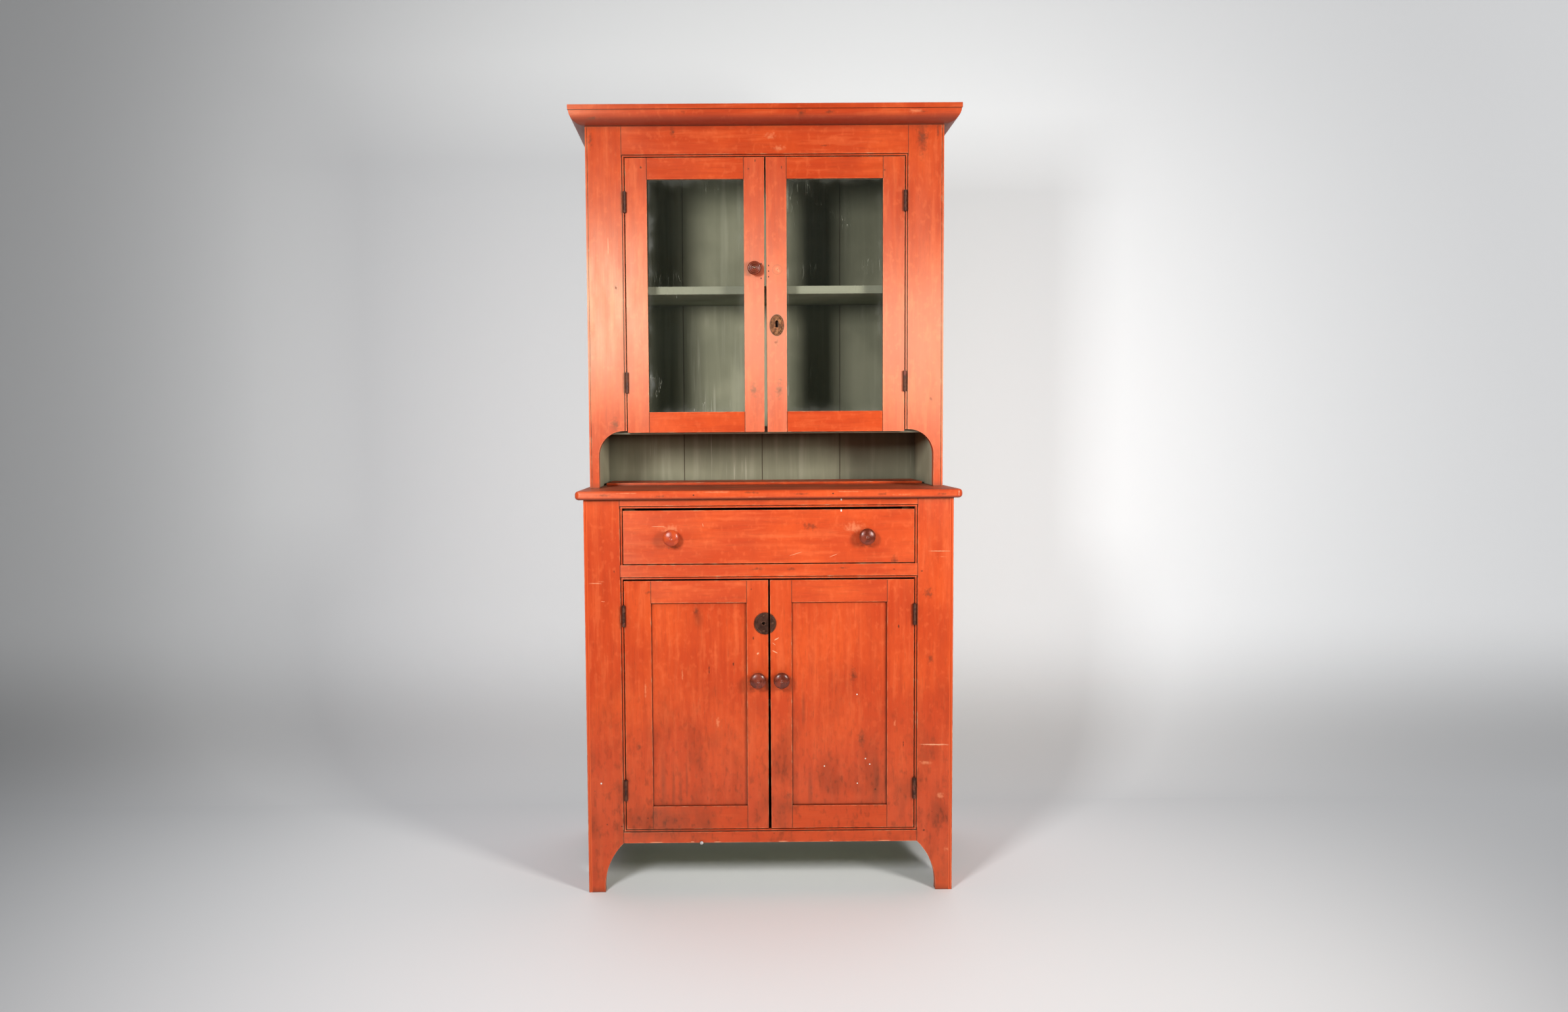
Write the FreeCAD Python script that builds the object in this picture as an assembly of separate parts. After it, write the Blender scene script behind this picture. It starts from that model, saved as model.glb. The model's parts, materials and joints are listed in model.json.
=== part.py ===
import FreeCAD, Part
import os
from math import cos, pi, sin
from FreeCAD import Vector

# Step back cupboard: a glazed upper case set back on a counter over a lower case with a drawer and
# two panelled doors. Millimetres. X runs along the front, Y runs from front to back, Z is up.
# Everything is drawn with the lower face frame on Y = 0 and moved to the middle of its box on export.

# Case boards
case_width = 990.0
lower_depth = 510.0
step_depth = 154.0
side_thickness = 20.0
face_thickness = 22.0
back_thickness = 13.0
back_board_count = 4
back_rabbet = 9.0
back_lap = 8.0
back_seam = 1.0
floor_thickness = 20.0
shelf_thickness = 22.0
housing_depth = 6.0

# Heights of the lower case, from the ground up
foot_height = 136.0
bottom_rail_height = 37.0
lower_door_opening = 685.0
mid_rail_height = 39.0
drawer_opening = 152.0
drawer_rail_height = 24.0

# Heights of the upper case, from the counter up
pie_opening = 155.0
upper_door_height = 756.0
frieze_height = 118.0
upper_floor_lap = 16.0
upper_shelf_rise = 397.0
upper_shelf_setback = 45.0
lower_shelf_rise = 340.0
lower_shelf_setback = 60.0
shelf_end_clearance = 0.5
cleat_size = 20.0
ledge_thickness = 8.0
ledge_setback = 160.0
ledge_end_gap = 9.0

# Face frame
lower_stile_width = 103.0
upper_stile_width = 106.0
bead_width = 5.0
quirk_width = 2.0
corner_quirk_inset = 5.0
corner_quirk_width = 1.4
tenon_length = 45.0
tenon_thickness = 8.0
tenon_shoulder = 3.0
mortise_end_room = 1.0

# Feet and arches
foot_width = 45.0
foot_hollow = 16.0
side_foot_length = 60.0
side_arch_rise = 95.0
leg_width = 26.0
arch_shoulder = 3.0
arch_crown_rise = 5.0

# Counter and cornice
counter_thickness = 24.0
counter_side_overhang = 21.0
counter_front_overhang = 20.0
counter_nose_radius = 9.5
counter_corner_radius = 14.0
cornice_radius = 34.0
cornice_soffit = 6.0
cornice_lip = 2.0
top_board_thickness = 13.0

# Doors
door_gap = 2.4
stop_clearance = 0.5
upper_head_gap = 2.0
lower_head_gap = 4.0
lower_sill_gap = 2.0
upper_meeting_gap_top = 4.0
upper_meeting_gap_bottom = 9.0
lower_meeting_gap_top = 5.0
lower_meeting_gap_bottom = 8.0
upper_hinge_stile = 60.0
upper_meeting_stile = 57.0
upper_door_top_rail = 59.0
upper_door_bottom_rail = 57.0
lower_hinge_stile = 72.0
lower_meeting_stile = 58.0
lower_door_top_rail = 60.0
lower_door_bottom_rail = 62.0
door_tenon_length = 40.0
door_tenon_shoulder = 8.0
rebate_width = 8.0
rebate_lip = 8.0
glass_thickness = 3.0
glass_edge_clearance = 1.0
putty_sight_edge = 1.0
panel_setback = 7.0
panel_thickness = 8.0
panel_groove_depth = 10.0
panel_edge_clearance = 0.8

# Butt hinges
hinge_length = 57.0
hinge_leaf_width = 18.0
hinge_leaf_thickness = 1.6
hinge_leaf_gap = 0.4
knuckle_count = 3
knuckle_radius = 4.6
knuckle_gap = 0.3
pin_radius = 2.2
pin_clearance = 0.06
pin_forward = 4.9
pin_end_reach = 0.8
barrel_flats = 14
upper_hinge_inset = 121.0
upper_hinge_low_inset = 139.0
lower_hinge_inset = 94.0
lower_hinge_low_inset = 109.0

# Drawer
drawer_side_gap = 2.0
drawer_head_gap = 6.0
drawer_sill_gap = 3.0
drawer_run_clearance = 0.3
drawer_guide_clearance = 1.0
drawer_side_thickness = 13.0
drawer_side_drop = 6.0
drawer_bottom_thickness = 7.0
drawer_bottom_rise = 12.0
drawer_groove_depth = 6.0
drawer_rear_room = 50.0
dovetail_count = 4
dovetail_lap = 7.0
dovetail_pin = 8.0
dovetail_flare = 3.0
runner_thickness = 20.0
runner_bearing = 30.0
guide_height = 26.0
kicker_clearance = 3.0

# Knobs
knob_head_radius = 22.0
upper_knob_head_radius = 19.0
knob_projection = 33.0
knob_base_radius = 12.0
knob_neck_radius = 8.6
knob_screw_radius = 4.0
knob_flats = 28
drawer_knob_spread = 522.0
lower_knob_drop = 268.0
upper_knob_drop = 305.0

# Locks
lock_width = 38.0
lock_height = 58.0
lock_depth = 12.0
lock_setback = 6.0
bolt_height = 16.0
bolt_thickness = 5.0
bolt_clearance = 0.3
bolt_inset = 1.0
bolt_tail_room = 10.0
bolt_travel = 12.0
upper_lock_drop = 460.0
lower_lock_drop = 117.0
keyhole_radius = 4.5
keyhole_slot_width = 8.2
keyhole_slot_drop = 15.0
keyhole_slot_rise = 9.0
plate_thickness = 1.6
lock_plate_radius = 29.0
lock_plate_offset = 11.0
lock_keyhole_offset = 15.0
escutcheon_width = 38.0
escutcheon_height = 58.0
escutcheon_thickness = 2.0

# Places that follow from the sizes above
half_width = case_width / 2
inner_half = half_width - side_thickness
back_front = lower_depth - back_thickness
bead_reach = quirk_width + bead_width
bead_radius = bead_width / 2
bottom_rail_top = foot_height + bottom_rail_height
mid_rail_bottom = bottom_rail_top + lower_door_opening
mid_rail_top = mid_rail_bottom + mid_rail_height
drawer_rail_bottom = mid_rail_top + drawer_opening
lower_height = drawer_rail_bottom + drawer_rail_height
counter_top = lower_height + counter_thickness
upper_door_bottom = counter_top + pie_opening
upper_door_top = upper_door_bottom + upper_door_height
frieze_bottom = upper_door_top + upper_head_gap
upper_top = frieze_bottom + frieze_height
upper_back_face = step_depth + face_thickness
upper_floor_top = upper_door_bottom + upper_floor_lap
upper_shelf_top = upper_floor_top + upper_shelf_rise
lower_shelf_top = bottom_rail_top + lower_shelf_rise
cornice_projection = cornice_soffit + cornice_radius
lower_opening_half = half_width - lower_stile_width
upper_opening_half = half_width - upper_stile_width
lower_joint = lower_opening_half + bead_reach
upper_joint = upper_opening_half + bead_reach
lower_door_top = mid_rail_bottom - lower_head_gap
lower_door_bottom = bottom_rail_top + lower_sill_gap
drawer_half = lower_opening_half - drawer_side_gap
drawer_top = drawer_rail_bottom - drawer_head_gap
drawer_bottom = mid_rail_top + drawer_sill_gap
drawer_knob_height = (drawer_top + drawer_bottom) / 2
front_reach = max(knob_projection, counter_front_overhang)
box_middle = (lower_depth - front_reach) / 2


def box(x0, x1, y0, y1, z0, z1):
    return Part.makeBox(x1 - x0, y1 - y0, z1 - z0, Vector(x0, y0, z0))


def prism(points, sweep):
    """Flat polygon through the points, swept along a vector."""
    return Part.Face(Part.makePolygon(points + points[:1])).extrude(sweep)


def disc(x, y, z, radius, thickness):
    """Round plate or hole that runs back from a point on a face."""
    return Part.makeCylinder(radius, thickness, Vector(x, y, z), Vector(0, 1, 0))


def barrel(x, y, z, radius, length):
    """Upright round of a hinge, in flats that lie on the given radius at their corners."""
    turns = [2 * pi * index / barrel_flats for index in range(barrel_flats)]
    points = [Vector(x + radius * cos(turn), y + radius * sin(turn), z) for turn in turns]
    return prism(points, Vector(0, 0, length))


def joined(shapes):
    whole = shapes[0]
    for shape in shapes[1:]:
        whole = whole.fuse(shape)
    return whole.removeSplitter()


def without(shape, cutters):
    for cutter in cutters:
        shape = shape.cut(cutter)
    return shape


def mirrored(shape):
    return shape.mirror(Vector(0, 0, 0), Vector(1, 0, 0))


def save(name, solids):
    whole = Part.makeCompound([solid.copy() for solid in solids])
    whole.translate(Vector(0, -box_middle, 0))
    whole.exportStep("parts/" + name + ".step")


# Face frames: stiles and rails with a quirk bead stuck round each opening and mitred at its corners


def bead_side(start, end, inward, mitred):
    """Beaded strip along a joint line; mitred says which of its two ends meet another bead."""

    def at(reach, depth):
        return start + inward * reach + Vector(0, depth, 0)

    crown = Part.Arc(at(quirk_width, bead_radius), at(quirk_width + bead_radius, 0), at(bead_reach, bead_radius))
    corners = [
        at(bead_reach, bead_radius),
        at(bead_reach, face_thickness),
        at(0, face_thickness),
        at(0, bead_radius),
        at(quirk_width, bead_radius),
    ]
    edges = [Part.makeLine(a, b) for a, b in zip(corners, corners[1:])]
    strip = Part.Face(Part.Wire([crown.toShape()] + edges)).extrude(end - start)
    along = (end - start).normalize()
    for corner, heading, cut in ((start, along, mitred[0]), (end, along * -1, mitred[1])):
        if cut:
            far = corner + inward * bead_reach
            wedge = prism([corner, far, far + heading * bead_reach], Vector(0, face_thickness, 0))
            strip = strip.cut(wedge)
    return strip


def rail_tenon(joint, low, high, face_y, end_room):
    """Tenon at the left end of a rail, or its mortise when given end room."""
    middle = face_y + face_thickness / 2
    return box(
        -joint - tenon_length - end_room,
        -joint,
        middle - tenon_thickness / 2,
        middle + tenon_thickness / 2,
        low + tenon_shoulder,
        high - tenon_shoulder,
    )


def frame_rail(joint, low, high, face_y, bead_low, bead_high):
    """Rail between two stiles, and the mortise that its left tenon needs."""
    body_low = low + bead_reach if bead_low else low
    body_high = high - bead_reach if bead_high else high
    tenon = rail_tenon(joint, body_low, body_high, face_y, 0)
    pieces = [box(-joint, joint, face_y, face_y + face_thickness, body_low, body_high), tenon, mirrored(tenon)]
    for level, inward, beaded in ((body_low, -1, bead_low), (body_high, 1, bead_high)):
        if beaded:
            start = Vector(-joint, face_y, level)
            end = Vector(joint, face_y, level)
            pieces.append(bead_side(start, end, Vector(0, 0, inward), (True, True)))
    mortise = rail_tenon(joint, body_low, body_high, face_y, mortise_end_room)
    return joined(pieces), mortise


def corner_quirk(face_y, low, high):
    """Narrow groove that sets a bead on the outer corner of a stile."""
    start = -half_width + corner_quirk_inset
    return box(start, start + corner_quirk_width, face_y, face_y + corner_quirk_width, low, high)


def lower_stile(mortises):
    foot_top = Vector(-lower_joint, 0, foot_height)
    toe = Vector(-half_width + foot_width, 0, 0)
    chord = toe - foot_top
    belly = (foot_top + toe) * 0.5 + Vector(chord.z, 0, -chord.x).normalize() * foot_hollow
    outline = [
        Part.Arc(foot_top, belly, toe).toShape(),
        Part.makeLine(toe, Vector(-half_width, 0, 0)),
        Part.makeLine(Vector(-half_width, 0, 0), Vector(-half_width, 0, lower_height)),
        Part.makeLine(Vector(-half_width, 0, lower_height), Vector(-lower_joint, 0, lower_height)),
        Part.makeLine(Vector(-lower_joint, 0, lower_height), foot_top),
    ]
    core = Part.Face(Part.Wire(outline)).extrude(Vector(0, face_thickness, 0))
    inward = Vector(1, 0, 0)
    door_low = Vector(-lower_joint, 0, bottom_rail_top - bead_reach)
    door_high = Vector(-lower_joint, 0, mid_rail_bottom + bead_reach)
    drawer_low = Vector(-lower_joint, 0, mid_rail_top)
    drawer_high = Vector(-lower_joint, 0, drawer_rail_bottom + bead_reach)
    door_bead = bead_side(door_low, door_high, inward, (True, True))
    drawer_bead = bead_side(drawer_low, drawer_high, inward, (False, True))
    return without(joined([core, door_bead, drawer_bead]), mortises + [corner_quirk(0, 0, lower_height)])


def upper_stile(mortise):
    arch_crown = upper_door_bottom + arch_crown_rise
    inner_leg = -half_width + leg_width
    spring = -upper_joint - arch_shoulder
    arch_radius = spring - inner_leg
    centre = Vector(spring, step_depth, arch_crown - arch_radius)
    diagonal = Vector(-1, 0, 1).normalize() * arch_radius
    low = counter_top
    corners = [
        Vector(inner_leg, step_depth, centre.z),
        Vector(inner_leg, step_depth, low),
        Vector(-half_width, step_depth, low),
        Vector(-half_width, step_depth, upper_top),
        Vector(-upper_joint, step_depth, upper_top),
        Vector(-upper_joint, step_depth, arch_crown),
        Vector(spring, step_depth, arch_crown),
    ]
    edges = [Part.makeLine(a, b) for a, b in zip(corners, corners[1:])]
    arch = Part.Arc(corners[-1], centre + diagonal, corners[0]).toShape()
    core = Part.Face(Part.Wire(edges + [arch])).extrude(Vector(0, face_thickness, 0))
    bead_low = Vector(-upper_joint, step_depth, arch_crown)
    bead_high = Vector(-upper_joint, step_depth, frieze_bottom + bead_reach)
    bead = bead_side(bead_low, bead_high, Vector(1, 0, 0), (False, True))
    return without(joined([core, bead]), [mortise, corner_quirk(step_depth, low, upper_top)])


# Carcass boards


def back_boards(low, high):
    """Vertical boards in the rear rabbets, lapped half over half along their seams."""
    span = inner_half + back_rabbet
    width = 2 * span / back_board_count
    middle = back_front + back_thickness / 2
    boards = []
    for index in range(back_board_count):
        left = -span + index * width
        right = left + width
        rear_left = left + back_lap if index else left
        rear_right = right + back_lap - back_seam if index < back_board_count - 1 else right
        front_right = right - back_seam if index < back_board_count - 1 else right
        outline = [
            Vector(left, back_front, low),
            Vector(front_right, back_front, low),
            Vector(front_right, middle, low),
            Vector(rear_right, middle, low),
            Vector(rear_right, lower_depth, low),
            Vector(rear_left, lower_depth, low),
            Vector(rear_left, middle, low),
            Vector(left, middle, low),
        ]
        boards.append(prism(outline, Vector(0, 0, high - low)))
    return boards


def cross_board(front, top, thickness):
    """Fixed board between the sides, with its ends let into their housings."""
    reach = inner_half + housing_depth
    return box(-reach, reach, front, back_front, top - thickness, top)


def side_board(front, low, high, housed):
    """Left side board with its rear rabbet and the housings for the boards it carries."""
    rabbet = box(-inner_half - back_rabbet, -inner_half, back_front, lower_depth, low, high)
    board = box(-half_width, -inner_half, front, lower_depth, low, high)
    return without(board, [rabbet] + housed)


def side_arch():
    """Segmental cut under a lower side that leaves a front and a rear foot."""
    front = face_thickness + side_foot_length
    rear = lower_depth - side_foot_length
    arch = Part.Arc(
        Vector(-half_width, front, 0),
        Vector(-half_width, (front + rear) / 2, side_arch_rise),
        Vector(-half_width, rear, 0),
    )
    ground = Part.makeLine(Vector(-half_width, rear, 0), Vector(-half_width, front, 0))
    return Part.Face(Part.Wire([arch.toShape(), ground])).extrude(Vector(side_thickness, 0, 0))


def counter_board():
    """Counter with a rounded nose along the front and both ends."""
    reach = half_width + counter_side_overhang
    nose = min(counter_nose_radius, counter_thickness * 0.45)
    board = box(-reach, reach, -counter_front_overhang, lower_depth, lower_height, counter_top)
    rear = lower_depth - counter_corner_radius
    upright = [e for e in board.Edges if e.BoundBox.ZLength > 1 and e.CenterOfMass.y < rear]
    board = board.makeFillet(counter_corner_radius, upright)
    rims = [e for e in board.Edges if e.BoundBox.ZLength < 1 and e.CenterOfMass.y < rear]
    return board.makeFillet(nose, rims)


def cornice_run(start, outward, sweep):
    """Quarter round moulding swept along the head of the case from a point on its face."""
    low = upper_top - cornice_radius
    shift = cornice_radius / 2**0.5

    def at(reach, height):
        return start + outward * reach + Vector(0, 0, height)

    corners = [
        at(cornice_projection, upper_top),
        at(0, upper_top),
        at(0, low),
        at(cornice_soffit, low),
    ]
    edges = [Part.makeLine(a, b) for a, b in zip(corners, corners[1:])]
    belly = at(cornice_soffit + shift, upper_top - shift)
    round_edge = Part.Arc(corners[-1], belly, corners[0]).toShape()
    return Part.Face(Part.Wire(edges + [round_edge])).extrude(sweep)


def cornice():
    """Front run and the two returns, mitred together at the corners of the case."""
    reach = half_width + cornice_projection
    front_y = step_depth - cornice_projection
    corner = Vector(-half_width, step_depth, 0)
    tip = Vector(-reach, front_y, 0)
    height = Vector(0, 0, upper_top + cornice_radius)
    return_side = prism([corner, tip, Vector(-reach, step_depth, 0)], height)
    front_side = prism([corner, tip, Vector(-half_width, front_y, 0)], height)
    run = cornice_run(Vector(-reach, step_depth, 0), Vector(0, -1, 0), Vector(2 * reach, 0, 0))
    front = without(run, [return_side, mirrored(return_side)])
    side_run = cornice_run(Vector(-half_width, front_y, 0), Vector(-1, 0, 0), Vector(0, lower_depth - front_y, 0))
    left = side_run.cut(front_side)
    return front, [left, mirrored(left)]


def top_board():
    reach = half_width + cornice_projection + cornice_lip
    front = step_depth - cornice_projection - cornice_lip
    return box(-reach, reach, front, lower_depth, upper_top, upper_top + top_board_thickness)


def drawer_runner():
    """Left runner, and the guide strip on it that keeps the drawer square."""
    bearing = -drawer_half + runner_bearing
    guide = -drawer_half - drawer_guide_clearance
    low = mid_rail_top - runner_thickness
    guide_top = mid_rail_top + guide_height
    runner = box(-inner_half, bearing, face_thickness, back_front, low, mid_rail_top)
    strip = box(-inner_half, guide, face_thickness, back_front, mid_rail_top, guide_top)
    return [runner, strip]


def drawer_kicker():
    """Left strip under the counter that keeps the open drawer from tipping."""
    low = drawer_top - drawer_side_drop + kicker_clearance
    right = -drawer_half + runner_bearing
    return box(-drawer_half, right, face_thickness, back_front, low, lower_height)


# Hinges: interleaved knuckles on a pin, with leaves let into the door and the stile


def butt_hinge(opening_half, face_y, middle):
    """Case leaf, door leaf and pin of one left-hand hinge."""
    pin_x = -opening_half + door_gap / 2
    pin_y = face_y - pin_forward
    low = middle - hinge_length / 2
    pitch = hinge_length / knuckle_count
    near = hinge_leaf_gap / 2
    far = near + hinge_leaf_thickness
    spans = ((pin_x - far, pin_x - near), (pin_x + near, pin_x + far))
    rear = face_y + hinge_leaf_width
    leaves = [[box(x0, x1, face_y, rear, low, low + hinge_length)] for x0, x1 in spans]
    for index in range(knuckle_count):
        bottom = low + index * pitch + knuckle_gap / 2
        height = pitch - knuckle_gap
        x0, x1 = spans[index % 2]
        web = box(x0, x1, pin_y, face_y, bottom, bottom + height)
        leaves[index % 2] += [barrel(pin_x, pin_y, bottom, knuckle_radius, height), web]
    bore_radius = (pin_radius + pin_clearance) / cos(pi / barrel_flats)
    bore = barrel(pin_x, pin_y, low, bore_radius, hinge_length)
    case_leaf, door_leaf = [joined(pieces).cut(bore) for pieces in leaves]
    pin = barrel(pin_x, pin_y, low - pin_end_reach, pin_radius, hinge_length + 2 * pin_end_reach)
    return case_leaf, door_leaf, pin


def hinge_pair(opening_half, face_y, high, low):
    """Case leaves, door leaves and pins of the two hinges of a left-hand door."""
    return zip(*[butt_hinge(opening_half, face_y, middle) for middle in (high, low)])


# Knobs, turned round an axis that leaves the face towards the front


def turned_knob(x, face_y, z, head_radius):
    """Wooden knob with a collar, a waisted neck and a mushroom head, turned in many flats."""
    flare_radius = (knob_neck_radius + knob_base_radius) / 2
    profile = (
        (knob_base_radius, 0),
        (knob_base_radius, 0.08),
        (knob_neck_radius, 0.22),
        (flare_radius, 0.42),
        (head_radius * 0.9, 0.52),
        (head_radius, 0.64),
        (head_radius * 0.93, 0.8),
        (head_radius * 0.72, 0.91),
        (knob_screw_radius, 1),
    )
    angles = [2 * pi * index / knob_flats for index in range(knob_flats)]
    rings = []
    for radius, share in profile:
        forward = face_y - knob_projection * share
        rings.append([Vector(x + radius * cos(turn), forward, z + radius * sin(turn)) for turn in angles])
    facets = [rings[0], rings[-1]]
    for near, far in zip(rings, rings[1:]):
        for index in range(knob_flats):
            facets.append([near[index - 1], near[index], far[index], far[index - 1]])
    shell = Part.makeShell([Part.Face(Part.makePolygon(facet + facet[:1])) for facet in facets])
    knob = Part.makeSolid(shell)
    if knob.Volume < 0:
        knob.reverse()
    return knob


# Doors: each is drawn as the left one of its pair and mirrored for the right


class Door:
    """Sizes and places of the left door of a pair."""

    def __init__(self, face_y, opening_half, low, high, gaps, stiles, rails):
        self.face_y = face_y
        self.rear = face_y + face_thickness - stop_clearance
        self.low = low
        self.high = high
        self.gap_top, self.gap_bottom = gaps
        self.hinge_edge = -opening_half + door_gap
        self.hinge_stile, self.meeting_stile = stiles
        self.top_rail, self.bottom_rail = rails
        self.sight_left = self.hinge_edge + self.hinge_stile
        self.sight_right = -self.gap_top / 2 - self.meeting_stile
        self.sight_low = low + self.bottom_rail
        self.sight_high = high - self.top_rail

    def edge(self, z):
        """Meeting edge at a height; the gap between the doors widens downwards."""
        share = (self.high - z) / (self.high - self.low)
        return -(self.gap_top + (self.gap_bottom - self.gap_top) * share) / 2

    def meeting_outline(self, y0, y1):
        """Meeting stile as a tapered board from one depth to another."""
        corners = [
            Vector(self.sight_right, y0, self.low),
            Vector(self.edge(self.low), y0, self.low),
            Vector(self.edge(self.high), y0, self.high),
            Vector(self.sight_right, y0, self.high),
        ]
        return prism(corners, Vector(0, y1 - y0, 0))

    def sight(self, margin, y0, y1):
        """Block through the door's opening, grown by a margin all round."""
        return box(
            self.sight_left - margin,
            self.sight_right + margin,
            y0,
            y1,
            self.sight_low - margin,
            self.sight_high + margin,
        )

    def rail(self, low, high, end_room):
        """Rail between the stiles with a tenon at each end."""
        middle = (self.face_y + self.rear) / 2
        reach = door_tenon_length + end_room
        tenon = box(
            self.sight_left - reach,
            self.sight_right + reach,
            middle - tenon_thickness / 2,
            middle + tenon_thickness / 2,
            low + door_tenon_shoulder,
            high - door_tenon_shoulder,
        )
        return joined([box(self.sight_left, self.sight_right, self.face_y, self.rear, low, high), tenon])

    def frame(self, recess):
        """Two stiles and two rails, all cut by the recess that holds the glass or the panel."""
        spans = ((self.low, self.sight_low), (self.sight_high, self.high))
        mortises = [self.rail(low, high, mortise_end_room) for low, high in spans]
        hinge_stile = box(self.hinge_edge, self.sight_left, self.face_y, self.rear, self.low, self.high)
        meeting_stile = self.meeting_outline(self.face_y, self.rear)
        stiles = [without(stile, mortises + [recess]) for stile in (hinge_stile, meeting_stile)]
        rails = [self.rail(low, high, 0).cut(recess) for low, high in spans]
        return stiles, rails

    def stile_middle(self, z):
        return (self.sight_right + self.edge(z)) / 2


def glazing(door):
    """Rebate cut, pane and the ring of putty behind it."""
    glass_front = door.face_y + rebate_lip
    glass_rear = glass_front + glass_thickness
    rebate = door.sight(rebate_width, glass_front, door.rear)
    pane = door.sight(rebate_width - glass_edge_clearance, glass_front, glass_rear)

    def loop(margin, y):
        left = door.sight_left - margin
        right = door.sight_right + margin
        low = door.sight_low - margin
        high = door.sight_high + margin
        corners = [Vector(left, y, low), Vector(right, y, low), Vector(right, y, high), Vector(left, y, high)]
        return Part.makePolygon(corners + corners[:1])

    bevel = Part.makeLoft([loop(0, glass_rear), loop(rebate_width - putty_sight_edge, door.rear)], True, True)
    putty = door.sight(rebate_width, glass_rear, door.rear).cut(bevel)
    return rebate, pane, putty


def panelling(door):
    """Groove cut and the flat panel that floats in it."""
    front = door.face_y + panel_setback
    rear = front + panel_thickness
    groove = door.sight(panel_groove_depth, front, rear)
    panel = door.sight(panel_groove_depth - panel_edge_clearance, front, rear)
    return groove, panel


class Lock:
    """Box lock let into the back of a meeting stile, with a bolt that slides out of the edge."""

    def __init__(self, door, drop, keyhole_x, slotted):
        self.door = door
        self.z = door.high - drop
        self.edge = door.edge(self.z)
        self.keyhole_x = keyhole_x
        self.slotted = slotted
        self.right = self.edge - lock_setback
        self.left = self.right - lock_width
        self.front = door.rear - lock_depth
        self.bolt_y = door.rear - lock_depth / 2

    def slot(self, x0, x1, clearance):
        """Block with the section of the bolt, grown by a clearance."""
        return box(
            x0,
            x1,
            self.bolt_y - bolt_thickness / 2 - clearance,
            self.bolt_y + bolt_thickness / 2 + clearance,
            self.z - bolt_height / 2 - clearance,
            self.z + bolt_height / 2 + clearance,
        )

    def body(self):
        low = self.z - lock_height / 2
        return box(self.left, self.right, self.front, self.door.rear, low, low + lock_height)

    def bolt(self):
        return self.slot(self.left + bolt_tail_room, self.edge - bolt_inset, 0)

    def case(self):
        tail = self.left + bolt_tail_room - bolt_clearance
        return self.body().cut(self.slot(tail, self.right, bolt_clearance))

    def keyhole(self, y0, y1):
        """Round eye, or an eye set higher with a slot under it."""
        if not self.slotted:
            return disc(self.keyhole_x, y0, self.z, keyhole_radius, y1 - y0)
        half = keyhole_slot_width / 2
        high = self.z + keyhole_slot_rise
        eye = disc(self.keyhole_x, y0, high, keyhole_radius, y1 - y0)
        slot = box(self.keyhole_x - half, self.keyhole_x + half, y0, y1, high - keyhole_slot_drop, high)
        return eye.fuse(slot)

    def stile_cuts(self):
        """What the stile that carries the lock loses."""
        mouth = self.slot(self.right, self.edge + lock_setback, bolt_clearance)
        return [self.body(), mouth, self.keyhole(self.door.face_y, self.front)]

    def strike(self):
        """Pocket in the edge of the other door, in that door's own left-hand place."""
        return self.slot(self.edge - bolt_travel, self.edge + lock_setback, bolt_clearance)


def lock_disc(door, lock, side):
    """Part of the round lock plate that lies on one door of the pair."""
    face = door.face_y
    centre = -lock_plate_offset * side
    plate = disc(centre, face - plate_thickness, lock.z, lock_plate_radius, plate_thickness)
    return plate.common(door.meeting_outline(face - plate_thickness, face))


def escutcheon(door, lock):
    """Oval keyhole plate."""
    centre = Vector(lock.keyhole_x, door.face_y, lock.z)
    tall = centre + Vector(0, 0, escutcheon_height / 2)
    wide = centre + Vector(escutcheon_width / 2, 0, 0)
    outline = Part.Wire(Part.Ellipse(tall, wide, centre).toShape())
    plate = Part.Face(outline).extrude(Vector(0, -escutcheon_thickness, 0))
    return plate.cut(lock.keyhole(door.face_y - escutcheon_thickness, door.face_y))


# Drawer with half-blind dovetails at the front


def drawer_side(length):
    """Left drawer side whose front end is cut into tails."""
    low = mid_rail_top + drawer_run_clearance
    high = drawer_top - drawer_side_drop
    pitch = (high - low) / dovetail_count
    tip = (pitch - dovetail_pin) / 2
    root = tip - dovetail_flare
    left = -drawer_half
    outline = [Vector(left, face_thickness, low)]
    for index in range(dovetail_count):
        middle = max(low + (index + 0.5) * pitch, drawer_bottom + tip)
        outline += [
            Vector(left, face_thickness, middle - root),
            Vector(left, dovetail_lap, middle - tip),
            Vector(left, dovetail_lap, middle + tip),
            Vector(left, face_thickness, middle + root),
        ]
    outline += [Vector(left, face_thickness, high), Vector(left, length, high), Vector(left, length, low)]
    return prism(outline, Vector(drawer_side_thickness, 0, 0))


def drawer():
    """Front, sides, back, bottom and knobs of the drawer."""
    length = back_front - drawer_rear_room
    low = mid_rail_top + drawer_run_clearance
    inner = drawer_half - drawer_side_thickness
    side = drawer_side(length)
    floor_low = low + drawer_bottom_rise
    floor_top = floor_low + drawer_bottom_thickness
    reach = inner + drawer_groove_depth
    floor = box(-reach, reach, face_thickness - drawer_groove_depth, length, floor_low, floor_top)
    back_y = length - drawer_side_thickness
    back_top = drawer_top - 2 * drawer_side_drop
    back = box(-reach, reach, back_y, length, floor_top, back_top)
    side = without(side, [floor, back])
    sides = [side, mirrored(side)]
    knob_x = drawer_knob_spread / 2
    knobs = [turned_knob(x, 0, drawer_knob_height, knob_head_radius) for x in (-knob_x, knob_x)]
    front = box(-drawer_half, drawer_half, 0, face_thickness, drawer_bottom, drawer_top)
    front = without(front, sides + [floor])
    return front, sides, back, floor, knobs


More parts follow.
